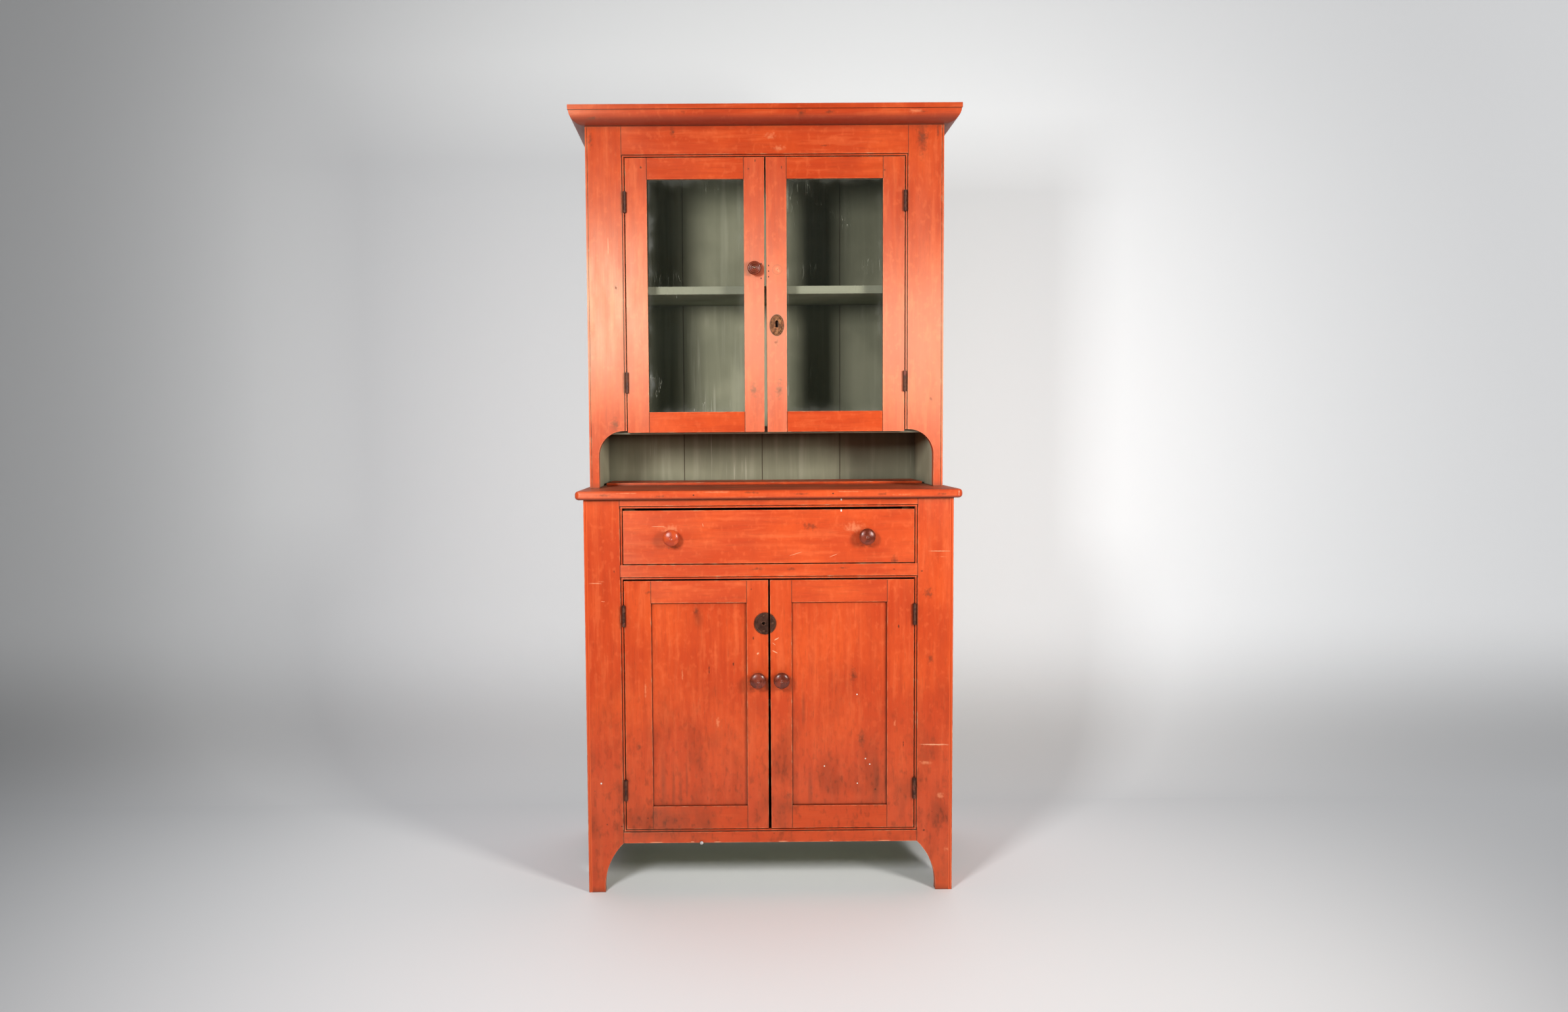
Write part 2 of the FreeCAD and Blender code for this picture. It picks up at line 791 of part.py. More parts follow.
def build_lower_case():
    bottom_rail, bottom_mortise = frame_rail(lower_joint, foot_height, bottom_rail_top, 0, False, True)
    mid_rail, mid_mortise = frame_rail(lower_joint, mid_rail_bottom, mid_rail_top, 0, True, False)
    drawer_rail, drawer_mortise = frame_rail(lower_joint, drawer_rail_bottom, lower_height, 0, True, False)
    floor = cross_board(face_thickness, bottom_rail_top, floor_thickness)
    shelf = cross_board(face_thickness + lower_shelf_setback, lower_shelf_top, shelf_thickness)
    side = side_board(face_thickness, 0, lower_height, [floor, shelf, side_arch()])
    drawer_way = drawer_runner() + [drawer_kicker()]
    save("lower_side_left", [side])
    save("lower_side_right", [mirrored(side)])
    save("lower_bottom_rail", [bottom_rail])
    save("mid_rail", [mid_rail])
    save("drawer_top_rail", [drawer_rail])
    save("lower_floor_board", [floor])
    save("lower_shelf", [shelf])
    save("lower_back_boards", back_boards(bottom_rail_top - floor_thickness, lower_height))
    save("drawer_runners", drawer_way + [mirrored(strip) for strip in drawer_way])
    save("counter_board", [counter_board()])
    return lower_stile([bottom_mortise, mid_mortise, drawer_mortise])


def build_upper_case():
    frieze, mortise = frame_rail(upper_joint, frieze_bottom, upper_top, step_depth, True, False)
    floor = cross_board(upper_back_face, upper_floor_top, floor_thickness)
    side = side_board(upper_back_face, counter_top, upper_top, [floor])
    shelf_front = upper_back_face + upper_shelf_setback
    shelf_half = inner_half - shelf_end_clearance
    shelf_low = upper_shelf_top - shelf_thickness
    shelf = box(-shelf_half, shelf_half, shelf_front, back_front, shelf_low, upper_shelf_top)
    cleat = box(-inner_half, -inner_half + cleat_size, shelf_front, back_front, shelf_low - cleat_size, shelf_low)
    ledge_half = inner_half - ledge_end_gap
    ledge_front = step_depth + ledge_setback
    ledge = box(-ledge_half, ledge_half, ledge_front, back_front, counter_top, counter_top + ledge_thickness)
    cornice_front, cornice_returns = cornice()
    save("frieze_rail", [frieze])
    save("upper_side_left", [side])
    save("upper_side_right", [mirrored(side)])
    save("upper_floor_board", [floor])
    save("upper_shelf", [shelf])
    save("shelf_cleats", [cleat, mirrored(cleat)])
    save("rear_ledge", [ledge])
    save("upper_back_boards", back_boards(counter_top, upper_top))
    save("cornice_front", [cornice_front])
    save("cornice_returns", cornice_returns)
    save("cornice_top_board", [top_board()])
    return upper_stile(mortise)


def save_door(name, stiles, rails, infill, leaves, right):
    """One hung door: its frame, its infill pieces and its hinge leaves."""
    turn = mirrored if right else (lambda shape: shape)
    save(name + "_stiles", [turn(stile) for stile in stiles])
    save(name + "_rails", [turn(rail) for rail in rails])
    save(name + "_hinge_leaves", [turn(leaf) for leaf in leaves])
    for piece, solid in infill.items():
        save(name + "_" + piece, [turn(solid)])


def build_upper_doors():
    """Glazed pair: the left door has the knob, the right one the lock."""
    door = Door(
        step_depth,
        upper_opening_half,
        upper_door_bottom,
        upper_door_top,
        (upper_meeting_gap_top, upper_meeting_gap_bottom),
        (upper_hinge_stile, upper_meeting_stile),
        (upper_door_top_rail, upper_door_bottom_rail),
    )
    hinge_high = upper_door_top - upper_hinge_inset
    hinge_low = upper_door_bottom + upper_hinge_low_inset
    case_leaves, door_leaves, pins = hinge_pair(upper_opening_half, step_depth, hinge_high, hinge_low)
    rebate, pane, putty = glazing(door)
    stiles, rails = door.frame(rebate)
    stiles[0] = without(stiles[0], door_leaves)
    lock_z = upper_door_top - upper_lock_drop
    lock = Lock(door, upper_lock_drop, door.stile_middle(lock_z), True)
    knob_z = upper_door_top - upper_knob_drop
    knob_x = door.stile_middle(knob_z)
    knob = turned_knob(knob_x, step_depth, knob_z, upper_knob_head_radius)
    left_stile = stiles[1].cut(lock.strike())
    right_stile = without(stiles[1], lock.stile_cuts())
    infill = {"glass": pane, "putty": putty}
    save_door("upper_left_door", [stiles[0], left_stile], rails, infill, door_leaves, False)
    save_door("upper_right_door", [stiles[0], right_stile], rails, infill, door_leaves, True)
    save("upper_left_door_knob", [knob])
    save("upper_lock_escutcheon", [mirrored(escutcheon(door, lock))])
    save("upper_lock_case", [mirrored(lock.case())])
    save("upper_lock_bolt", [mirrored(lock.bolt())])
    return list(case_leaves), list(pins)


def build_lower_doors():
    """Panelled pair: the left door has the lock, both have a knob."""
    door = Door(
        0,
        lower_opening_half,
        lower_door_bottom,
        lower_door_top,
        (lower_meeting_gap_top, lower_meeting_gap_bottom),
        (lower_hinge_stile, lower_meeting_stile),
        (lower_door_top_rail, lower_door_bottom_rail),
    )
    hinge_high = lower_door_top - lower_hinge_inset
    hinge_low = lower_door_bottom + lower_hinge_low_inset
    case_leaves, door_leaves, pins = hinge_pair(lower_opening_half, 0, hinge_high, hinge_low)
    groove, panel = panelling(door)
    stiles, rails = door.frame(groove)
    stiles[0] = without(stiles[0], door_leaves)
    lock = Lock(door, lower_lock_drop, -lock_keyhole_offset, False)
    knob_z = lower_door_top - lower_knob_drop
    knob_x = door.stile_middle(knob_z)
    knob = turned_knob(knob_x, 0, knob_z, knob_head_radius)
    left_stile = without(stiles[1], lock.stile_cuts())
    right_stile = stiles[1].cut(lock.strike())
    infill = {"panel": panel}
    save_door("lower_left_door", [stiles[0], left_stile], rails, infill, door_leaves, False)
    save_door("lower_right_door", [stiles[0], right_stile], rails, infill, door_leaves, True)
    save("lower_left_door_knob", [knob])
    save("lower_right_door_knob", [mirrored(knob)])
    lock_plate = lock_disc(door, lock, 1).cut(lock.keyhole(-plate_thickness, 0))
    save("lower_lock_plate", [lock_plate])
    save("lower_lock_keeper", [mirrored(lock_disc(door, lock, -1))])
    save("lower_lock_case", [lock.case()])
    save("lower_lock_bolt", [lock.bolt()])
    return list(case_leaves), list(pins)


def build_drawer():
    front, sides, back, floor, knobs = drawer()
    save("drawer_front", [front])
    save("drawer_sides", sides)
    save("drawer_back", [back])
    save("drawer_bottom", [floor])
    save("drawer_knobs", knobs)


def main():
    os.makedirs("parts", exist_ok=True)
    lower = build_lower_case()
    upper = build_upper_case()
    upper_leaves, upper_pins = build_upper_doors()
    lower_leaves, lower_pins = build_lower_doors()
    build_drawer()
    for level, stile, leaves in (("lower", lower, lower_leaves), ("upper", upper, upper_leaves)):
        hung = without(stile, leaves)
        save(level + "_stile_left", [hung])
        save(level + "_stile_right", [mirrored(hung)])
    leaves = upper_leaves + lower_leaves
    pins = upper_pins + lower_pins
    save("case_hinge_leaves", leaves + [mirrored(leaf) for leaf in leaves])
    save("hinge_pins", pins + [mirrored(pin) for pin in pins])


main()
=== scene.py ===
import json
from math import cos, pi, sin

import bpy
from mathutils import Matrix, Vector


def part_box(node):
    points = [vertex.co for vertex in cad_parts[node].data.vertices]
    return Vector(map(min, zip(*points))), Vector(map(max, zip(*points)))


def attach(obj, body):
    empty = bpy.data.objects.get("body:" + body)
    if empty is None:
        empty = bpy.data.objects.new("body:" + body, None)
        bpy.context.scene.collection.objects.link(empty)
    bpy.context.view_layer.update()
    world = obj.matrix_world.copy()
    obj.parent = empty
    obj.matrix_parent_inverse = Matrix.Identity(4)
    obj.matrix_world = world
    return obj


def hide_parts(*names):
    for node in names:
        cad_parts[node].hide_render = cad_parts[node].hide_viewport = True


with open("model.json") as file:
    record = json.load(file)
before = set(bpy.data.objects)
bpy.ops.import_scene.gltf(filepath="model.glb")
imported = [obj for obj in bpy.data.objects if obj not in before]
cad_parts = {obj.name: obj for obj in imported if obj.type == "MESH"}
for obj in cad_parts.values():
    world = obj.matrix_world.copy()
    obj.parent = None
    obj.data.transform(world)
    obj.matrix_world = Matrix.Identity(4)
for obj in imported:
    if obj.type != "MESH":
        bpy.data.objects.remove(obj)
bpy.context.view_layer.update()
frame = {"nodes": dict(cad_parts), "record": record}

nodes = frame["nodes"]

# Colours of the object, as they look on a screen


def srgb(red, green, blue):
    """Screen colour, 0 to 255 a channel, as the linear colour that a shader takes."""
    channels = [value / 255 for value in (red, green, blue)]
    linear = [c / 12.92 if c <= 0.04045 else ((c + 0.055) / 1.055) ** 2.4 for c in channels]
    return (*linear, 1.0)


PAINT_DEEP = srgb(198, 66, 28)
PAINT_BASE = srgb(219, 84, 36)
PAINT_LIGHT = srgb(232, 106, 58)
PAINT_WORN = srgb(240, 150, 104)
BARE_EDGE = srgb(222, 182, 140)
CHIP = srgb(242, 176, 138)
PAINT_SHADED = srgb(112, 22, 10)
JOINT_RED = srgb(88, 26, 13)
GRIME = srgb(104, 46, 28)
SOIL = srgb(112, 38, 17)
PAINT_LOW = srgb(197, 58, 10)
PAINT_VEIN = srgb(180, 56, 24)
# Dark dirt for holes and seams, also used as painted shade in the corners
DARK_DIRT_AND_SHADE = srgb(46, 22, 15)
WHITE_PAINT = srgb(226, 222, 210)
KNOT_BROWN = srgb(116, 48, 26)
GREEN_PAINTED_SHADE = srgb(92, 94, 78)
GREEN_DEEP = srgb(140, 143, 120)
GREEN_BASE = srgb(164, 167, 142)
GREEN_LIGHT = srgb(180, 181, 160)
GREEN_DRIP = srgb(188, 187, 170)
GREEN_SHADE = srgb(44, 44, 36)
PINE_DARK = srgb(104, 72, 44)
PINE_BASE = srgb(156, 116, 74)
PINE_LIGHT = srgb(186, 148, 102)
PINE_STAIN = srgb(92, 74, 56)
PINE_KNOT = srgb(70, 42, 24)
PINE_SHADE = srgb(38, 27, 19)

# Node trees


class Tree:
    """Builder for a shader tree, in which a value is a number, a tuple or another node's socket."""

    def __init__(self, tree):
        self.tree = tree

    def feed(self, socket, value):
        if isinstance(value, bpy.types.NodeSocket):
            self.tree.links.new(value, socket)
        else:
            socket.default_value = value

    def node(self, kind, values=None, **settings):
        made = self.tree.nodes.new("ShaderNode" + kind)
        for key, value in settings.items():
            setattr(made, key, value)
        for key, value in (values or {}).items():
            self.feed(made.inputs[key], value)
        return made

    def math(self, operation, *values, clamp=False):
        made = self.node("Math", operation=operation, use_clamp=clamp)
        for socket, value in zip(made.inputs, values):
            self.feed(socket, value)
        return made.outputs[0]

    def times(self, *values):
        return self.math("MULTIPLY", *values)

    def plus(self, *values, clamp=False):
        return self.math("ADD", *values, clamp=clamp)

    def split(self, place):
        """The x, y and z of a vector."""
        return self.node("SeparateXYZ", {0: place}).outputs

    def vector(self, operation, *values, output=0):
        made = self.node("VectorMath", operation=operation)
        for socket, value in zip(made.inputs, values):
            self.feed(socket, value)
        return made.outputs[output]

    def ramp(self, value, low, high, start=0.0, end=1.0):
        """Smooth step of a value from low to high."""
        made = self.node("MapRange", interpolation_type="SMOOTHSTEP")
        for index, item in enumerate((value, low, high, start, end)):
            self.feed(made.inputs[index], item)
        return made.outputs[0]

    def mix(self, share, under, over):
        """Mix of two colours."""
        made = self.node("Mix", data_type="RGBA")
        for index, item in ((0, share), (6, under), (7, over)):
            self.feed(made.inputs[index], item)
        return made.outputs[2]

    def blend(self, share, under, over):
        """Mix of two numbers."""
        made = self.node("Mix", data_type="FLOAT")
        for index, item in ((0, share), (2, under), (3, over)):
            self.feed(made.inputs[index], item)
        return made.outputs[0]

    def stretch(self, place, scale):
        return self.vector("MULTIPLY", place, scale)

    def noise(self, place, scale, detail=3.0, distortion=0.0):
        values = {"Vector": place, "Scale": scale, "Detail": detail, "Distortion": distortion}
        return self.node("TexNoise", values).outputs["Fac"]

    def specks(self, place, scale, size, rarity):
        """Round specks in a share of the cells of a random pattern."""
        cells = self.node("TexVoronoi", {"Vector": place, "Scale": scale})
        draw = self.node("SeparateColor", {0: cells.outputs["Color"]}).outputs[0]
        chosen = self.math("GREATER_THAN", draw, rarity)
        return self.times(self.ramp(cells.outputs["Distance"], size, size * 0.5), chosen)

    def turned(self, value, source, target):
        settings = {"vector_type": "VECTOR", "convert_from": source, "convert_to": target}
        return self.node("VectorTransform", {0: value}, **settings).outputs[0]

    def edge_turn(self, radius, weights=(1.0, 1.0, 1.0)):
        """How far a rounded edge would turn the surface, along the piece's own axes."""
        rounded = self.node("Bevel", {"Radius": radius}, samples=6).outputs[0]
        flat = self.node("NewGeometry").outputs["True Normal"]
        change = self.turned(self.vector("SUBTRACT", rounded, flat), "WORLD", "OBJECT")
        return self.stretch(change, weights)

    def edges(self, radius):
        return self.vector("LENGTH", self.edge_turn(radius), output=1)

    def shelter(self, distance):
        """1 deep in a corner, 0 in the open."""
        open_share = self.node("AmbientOcclusion", {"Distance": distance}, samples=8).outputs["AO"]
        return self.math("SUBTRACT", 1.0, open_share, clamp=True)

    def dirty(self, color, distance, strength, tint=DARK_DIRT_AND_SHADE):
        """Colour darkened in the corners: dirt, and painted shade where the corners lie in shade."""
        return self.mix(self.times(self.shelter(distance), strength), color, tint)


def new_material(name):
    """Empty material, the builder of its tree, and its shader."""
    material = bpy.data.materials.new(name)
    material.use_nodes = True
    return material, Tree(material.node_tree), material.node_tree.nodes["Principled BSDF"]


def finish_group(name, fill):
    """Node group that turns grain and place coordinates into a colour, a roughness and a height."""
    group = bpy.data.node_groups.new(name, "ShaderNodeTree")
    for item in ("Grain", "Place", "Worn"):
        group.interface.new_socket(item, in_out="INPUT", socket_type="NodeSocketVector")
    group.interface.new_socket("Color", in_out="OUTPUT", socket_type="NodeSocketColor")
    for item in ("Roughness", "Height"):
        group.interface.new_socket(item, in_out="OUTPUT", socket_type="NodeSocketFloat")
    tree = Tree(group)
    ports = group.nodes.new("NodeGroupInput").outputs
    results = group.nodes.new("NodeGroupOutput").inputs
    for socket, value in zip(results, fill(tree, ports["Grain"], ports["Place"], ports["Worn"])):
        tree.feed(socket, value)
    return group


def grain_figure(tree, grain, width):
    """Growth rings of a flat sawn board, and its fine fibres."""
    drift = tree.noise(tree.stretch(grain, (5.0, 5.0, 0.9)), 1.0, 2.0)
    wandering = tree.node("CombineXYZ", {0: tree.times(drift, 0.16)}).outputs[0]
    bent = tree.stretch(tree.vector("ADD", grain, wandering), (1.0, 1.0, 0.05))
    wave = {"Vector": bent, "Scale": 1 / width, "Distortion": 2.6, "Detail": 2.0, "Detail Scale": 1.4}
    bands = {"wave_type": "BANDS", "bands_direction": "X", "wave_profile": "SAW"}
    rings = tree.node("TexWave", wave, **bands).outputs["Fac"]
    fibre = tree.noise(tree.stretch(grain, (420.0, 420.0, 9.0)), 1.0, 2.0)
    return rings, fibre


def red_paint(tree, grain, place, worn):
    rings, fibre = grain_figure(tree, grain, 0.11)
    blotch = tree.ramp(tree.noise(place, 5.0, 5.0), 0.34, 0.68)
    color = tree.mix(blotch, PAINT_DEEP, PAINT_BASE)
    streak = tree.ramp(tree.noise(tree.stretch(grain, (60.0, 60.0, 2.6)), 1.0, 4.0), 0.48, 0.74)
    color = tree.mix(tree.times(streak, 0.35), color, PAINT_LIGHT)
    color = tree.mix(tree.times(tree.ramp(rings, 0.5, 0.98), 0.22), color, PAINT_DEEP)
    vein = tree.noise(tree.stretch(grain, (64.0, 64.0, 7.0)), 1.0, 8.0)
    color = tree.mix(tree.ramp(vein, 0.52, 0.64, 0.0, 0.3), color, PAINT_VEIN)
    color = tree.mix(tree.ramp(vein, 0.44, 0.34, 0.0, 0.35), color, PAINT_LIGHT)
    mottle = tree.noise(tree.stretch(place, (1.0, 1.0, 0.7)), 75.0, 6.0)
    color = tree.mix(tree.ramp(mottle, 0.52, 0.68, 0.0, 0.3), color, PAINT_DEEP)
    color = tree.mix(tree.ramp(mottle, 0.46, 0.32, 0.0, 0.3), color, PAINT_LIGHT)
    dash = tree.noise(tree.stretch(grain, (330.0, 330.0, 24.0)), 1.0, 2.0)
    # Darker, deeper red towards the bottom: dirt, and painted shade where the light falls off low down
    level = tree.split(place)[2]
    low = tree.times(tree.ramp(level, 0.72, 0.1), tree.ramp(level, 0.05, 0.24, 0.5, 1.0))
    dash = tree.times(tree.ramp(dash, 0.58, 0.74), tree.blend(low, 0.16, 0.5))
    color = tree.mix(dash, color, GRIME)
    color = tree.mix(tree.times(low, 0.8), color, PAINT_LOW)
    # Clouds of dirt, heaviest low down, where they also lay painted shade
    cloud = tree.ramp(tree.noise(tree.stretch(place, (1.0, 1.0, 0.6)), 13.0, 7.0), 0.44, 0.7)
    dirt_and_painted_light = tree.times(low, tree.blend(cloud, 0.06, 0.56))
    dirt_and_painted_light = tree.plus(dirt_and_painted_light, tree.times(cloud, 0.06))
    fine = tree.ramp(tree.noise(tree.stretch(place, (1.0, 1.0, 0.5)), 90.0, 9.0), 0.5, 0.74)
    dirt_and_painted_light = tree.plus(dirt_and_painted_light, tree.times(fine, tree.blend(low, 0.05, 0.5)), clamp=True)
    color = tree.mix(dirt_and_painted_light, color, SOIL)
    # Painted shade: faces that look down are darkened, most under the cornice
    facing = tree.split(tree.node("NewGeometry").outputs["Normal"])[2]
    color = tree.mix(tree.ramp(facing, -0.2, -0.85, 0.0, 0.85), color, PAINT_SHADED)
    used = tree.ramp(tree.noise(tree.stretch(grain, (26.0, 26.0, 5.0)), 1.0, 6.0), 0.46, 0.66, 0.0, 0.6)
    color = tree.mix(tree.times(used, tree.ramp(facing, 0.7, 0.98)), color, SOIL)
    # Dirt and painted shade in the corners, broken up unevenly
    uneven = tree.ramp(tree.noise(place, 30.0), 0.25, 0.6, 0.5, 1.0)
    corner = tree.times(tree.shelter(0.02), uneven)
    color = tree.mix(tree.times(corner, 0.9), color, DARK_DIRT_AND_SHADE)
    seam = tree.ramp(tree.shelter(0.003), 0.08, 0.3)
    color = tree.mix(tree.times(seam, 0.85), color, JOINT_RED)
    dents = tree.specks(place, 19.0, 0.04, 0.84)
    color = tree.mix(tree.times(dents, 0.7), color, GRIME)
    drops = tree.specks(tree.vector("ADD", place, (3.1, 1.7, 0.4)), 11.0, 0.012, 0.9)
    color = tree.mix(tree.times(drops, 0.8), color, WHITE_PAINT)
    edge = tree.vector("LENGTH", worn, output=1)
    breakup = tree.noise(place, 60.0, 6.0)
    rubbed = tree.ramp(tree.plus(edge, tree.times(breakup, 0.9)), 0.62, 0.95)
    rubbed = tree.times(rubbed, tree.ramp(edge, 0.02, 0.2))
    rubbed = tree.times(rubbed, tree.ramp(tree.noise(place, 38.0, 4.0), 0.4, 0.6, 0.15, 1.0))
    open_face = tree.math("SUBTRACT", 1.0, tree.math("MAXIMUM", corner, seam), clamp=True)
    rubbed = tree.times(rubbed, open_face)
    color = tree.mix(tree.times(rubbed, 0.7), color, PAINT_WORN)
    bare = tree.times(rubbed, tree.ramp(tree.noise(place, 24.0, 4.0), 0.56, 0.66))
    color = tree.mix(tree.times(bare, 0.8), color, BARE_EDGE)
    rough = tree.ramp(tree.noise(tree.stretch(grain, (30.0, 30.0, 6.0)), 1.0, 4.0), 0.3, 0.7, 0.34, 0.43)
    rough = tree.plus(rough, tree.times(tree.math("MAXIMUM", dirt_and_painted_light, rubbed), 0.2))
    return color, rough, tree.math("SUBTRACT", tree.times(fibre, 0.5), dents)


def green_paint(tree, grain, place, _):
    rings, fibre = grain_figure(tree, grain, 0.12)
    blotch = tree.ramp(tree.noise(place, 5.0, 5.0), 0.35, 0.68)
    color = tree.mix(blotch, GREEN_DEEP, GREEN_BASE)
    # Painted shade towards the back of the case, and painted light on the front edges
    depth = tree.split(place)[1]
    color = tree.mix(tree.ramp(depth, 0.2, 0.25, 0.0, 0.6), color, GREEN_PAINTED_SHADE)
    color = tree.mix(tree.ramp(depth, 0.02, -0.01, 0.0, 0.5), color, GREEN_LIGHT)
    streak = tree.ramp(tree.noise(tree.stretch(grain, (40.0, 40.0, 2.0)), 1.0, 3.0), 0.5, 0.75)
    color = tree.mix(tree.times(streak, 0.28), color, GREEN_LIGHT)
    color = tree.mix(tree.ramp(fibre, 0.55, 0.8, 0.0, 0.2), color, GREEN_DEEP)
    drip = tree.noise(tree.stretch(grain, (130.0, 130.0, 5.0)), 1.0, 2.0)
    rare = tree.ramp(tree.noise(tree.stretch(grain, (6.0, 6.0, 2.4)), 1.0), 0.58, 0.68)
    drip = tree.times(tree.ramp(drip, 0.62, 0.7), rare)
    color = tree.mix(tree.times(drip, 0.4), color, GREEN_DRIP)
    # Dirt and painted shade in the corners
    color = tree.dirty(color, 0.03, 0.75, GREEN_SHADE)
    color = tree.mix(tree.ramp(rings, 0.5, 0.98, 0.0, 0.15), color, GREEN_DEEP)
    return color, tree.ramp(blotch, 0.0, 1.0, 0.7, 0.58), tree.times(fibre, 0.6)


def bare_pine(tree, grain, place, _):
    rings, fibre = grain_figure(tree, grain, 0.07)
    color = tree.mix(tree.ramp(tree.noise(place, 4.0, 4.0), 0.35, 0.7), PINE_BASE, PINE_LIGHT)
    color = tree.mix(tree.times(tree.ramp(rings, 0.3, 0.95), 0.55), color, PINE_DARK)
    color = tree.mix(tree.ramp(fibre, 0.5, 0.75, 0.0, 0.4), color, PINE_DARK)
    stain = tree.ramp(tree.noise(tree.stretch(grain, (9.0, 9.0, 1.6)), 1.0, 5.0), 0.5, 0.72)
    color = tree.mix(tree.times(stain, 0.45), color, PINE_STAIN)
    cells = {"Vector": tree.stretch(grain, (1.0, 1.0, 0.6)), "Scale": 4.2}
    knots = tree.node("TexVoronoi", cells).outputs["Distance"]
    color = tree.mix(tree.ramp(knots, 0.06, 0.035), color, PINE_KNOT)
    # Dirt and painted shade in the corners
    color = tree.dirty(color, 0.03, 0.7, PINE_SHADE)
    saw = tree.noise(tree.stretch(grain, (4.0, 4.0, 330.0)), 1.0, 1.0)
    height = tree.plus(tree.times(fibre, 0.7), tree.times(saw, 0.3))
    return color, tree.ramp(fibre, 0.3, 0.7, 0.72, 0.85), height


finishes = {
    "paint": finish_group("red_paint", red_paint),
    "green": finish_group("green_paint", green_paint),
    "pine": finish_group("bare_pine", bare_pine),
}

# Marks on the painted faces: kind, x, z, half width and half height in metres

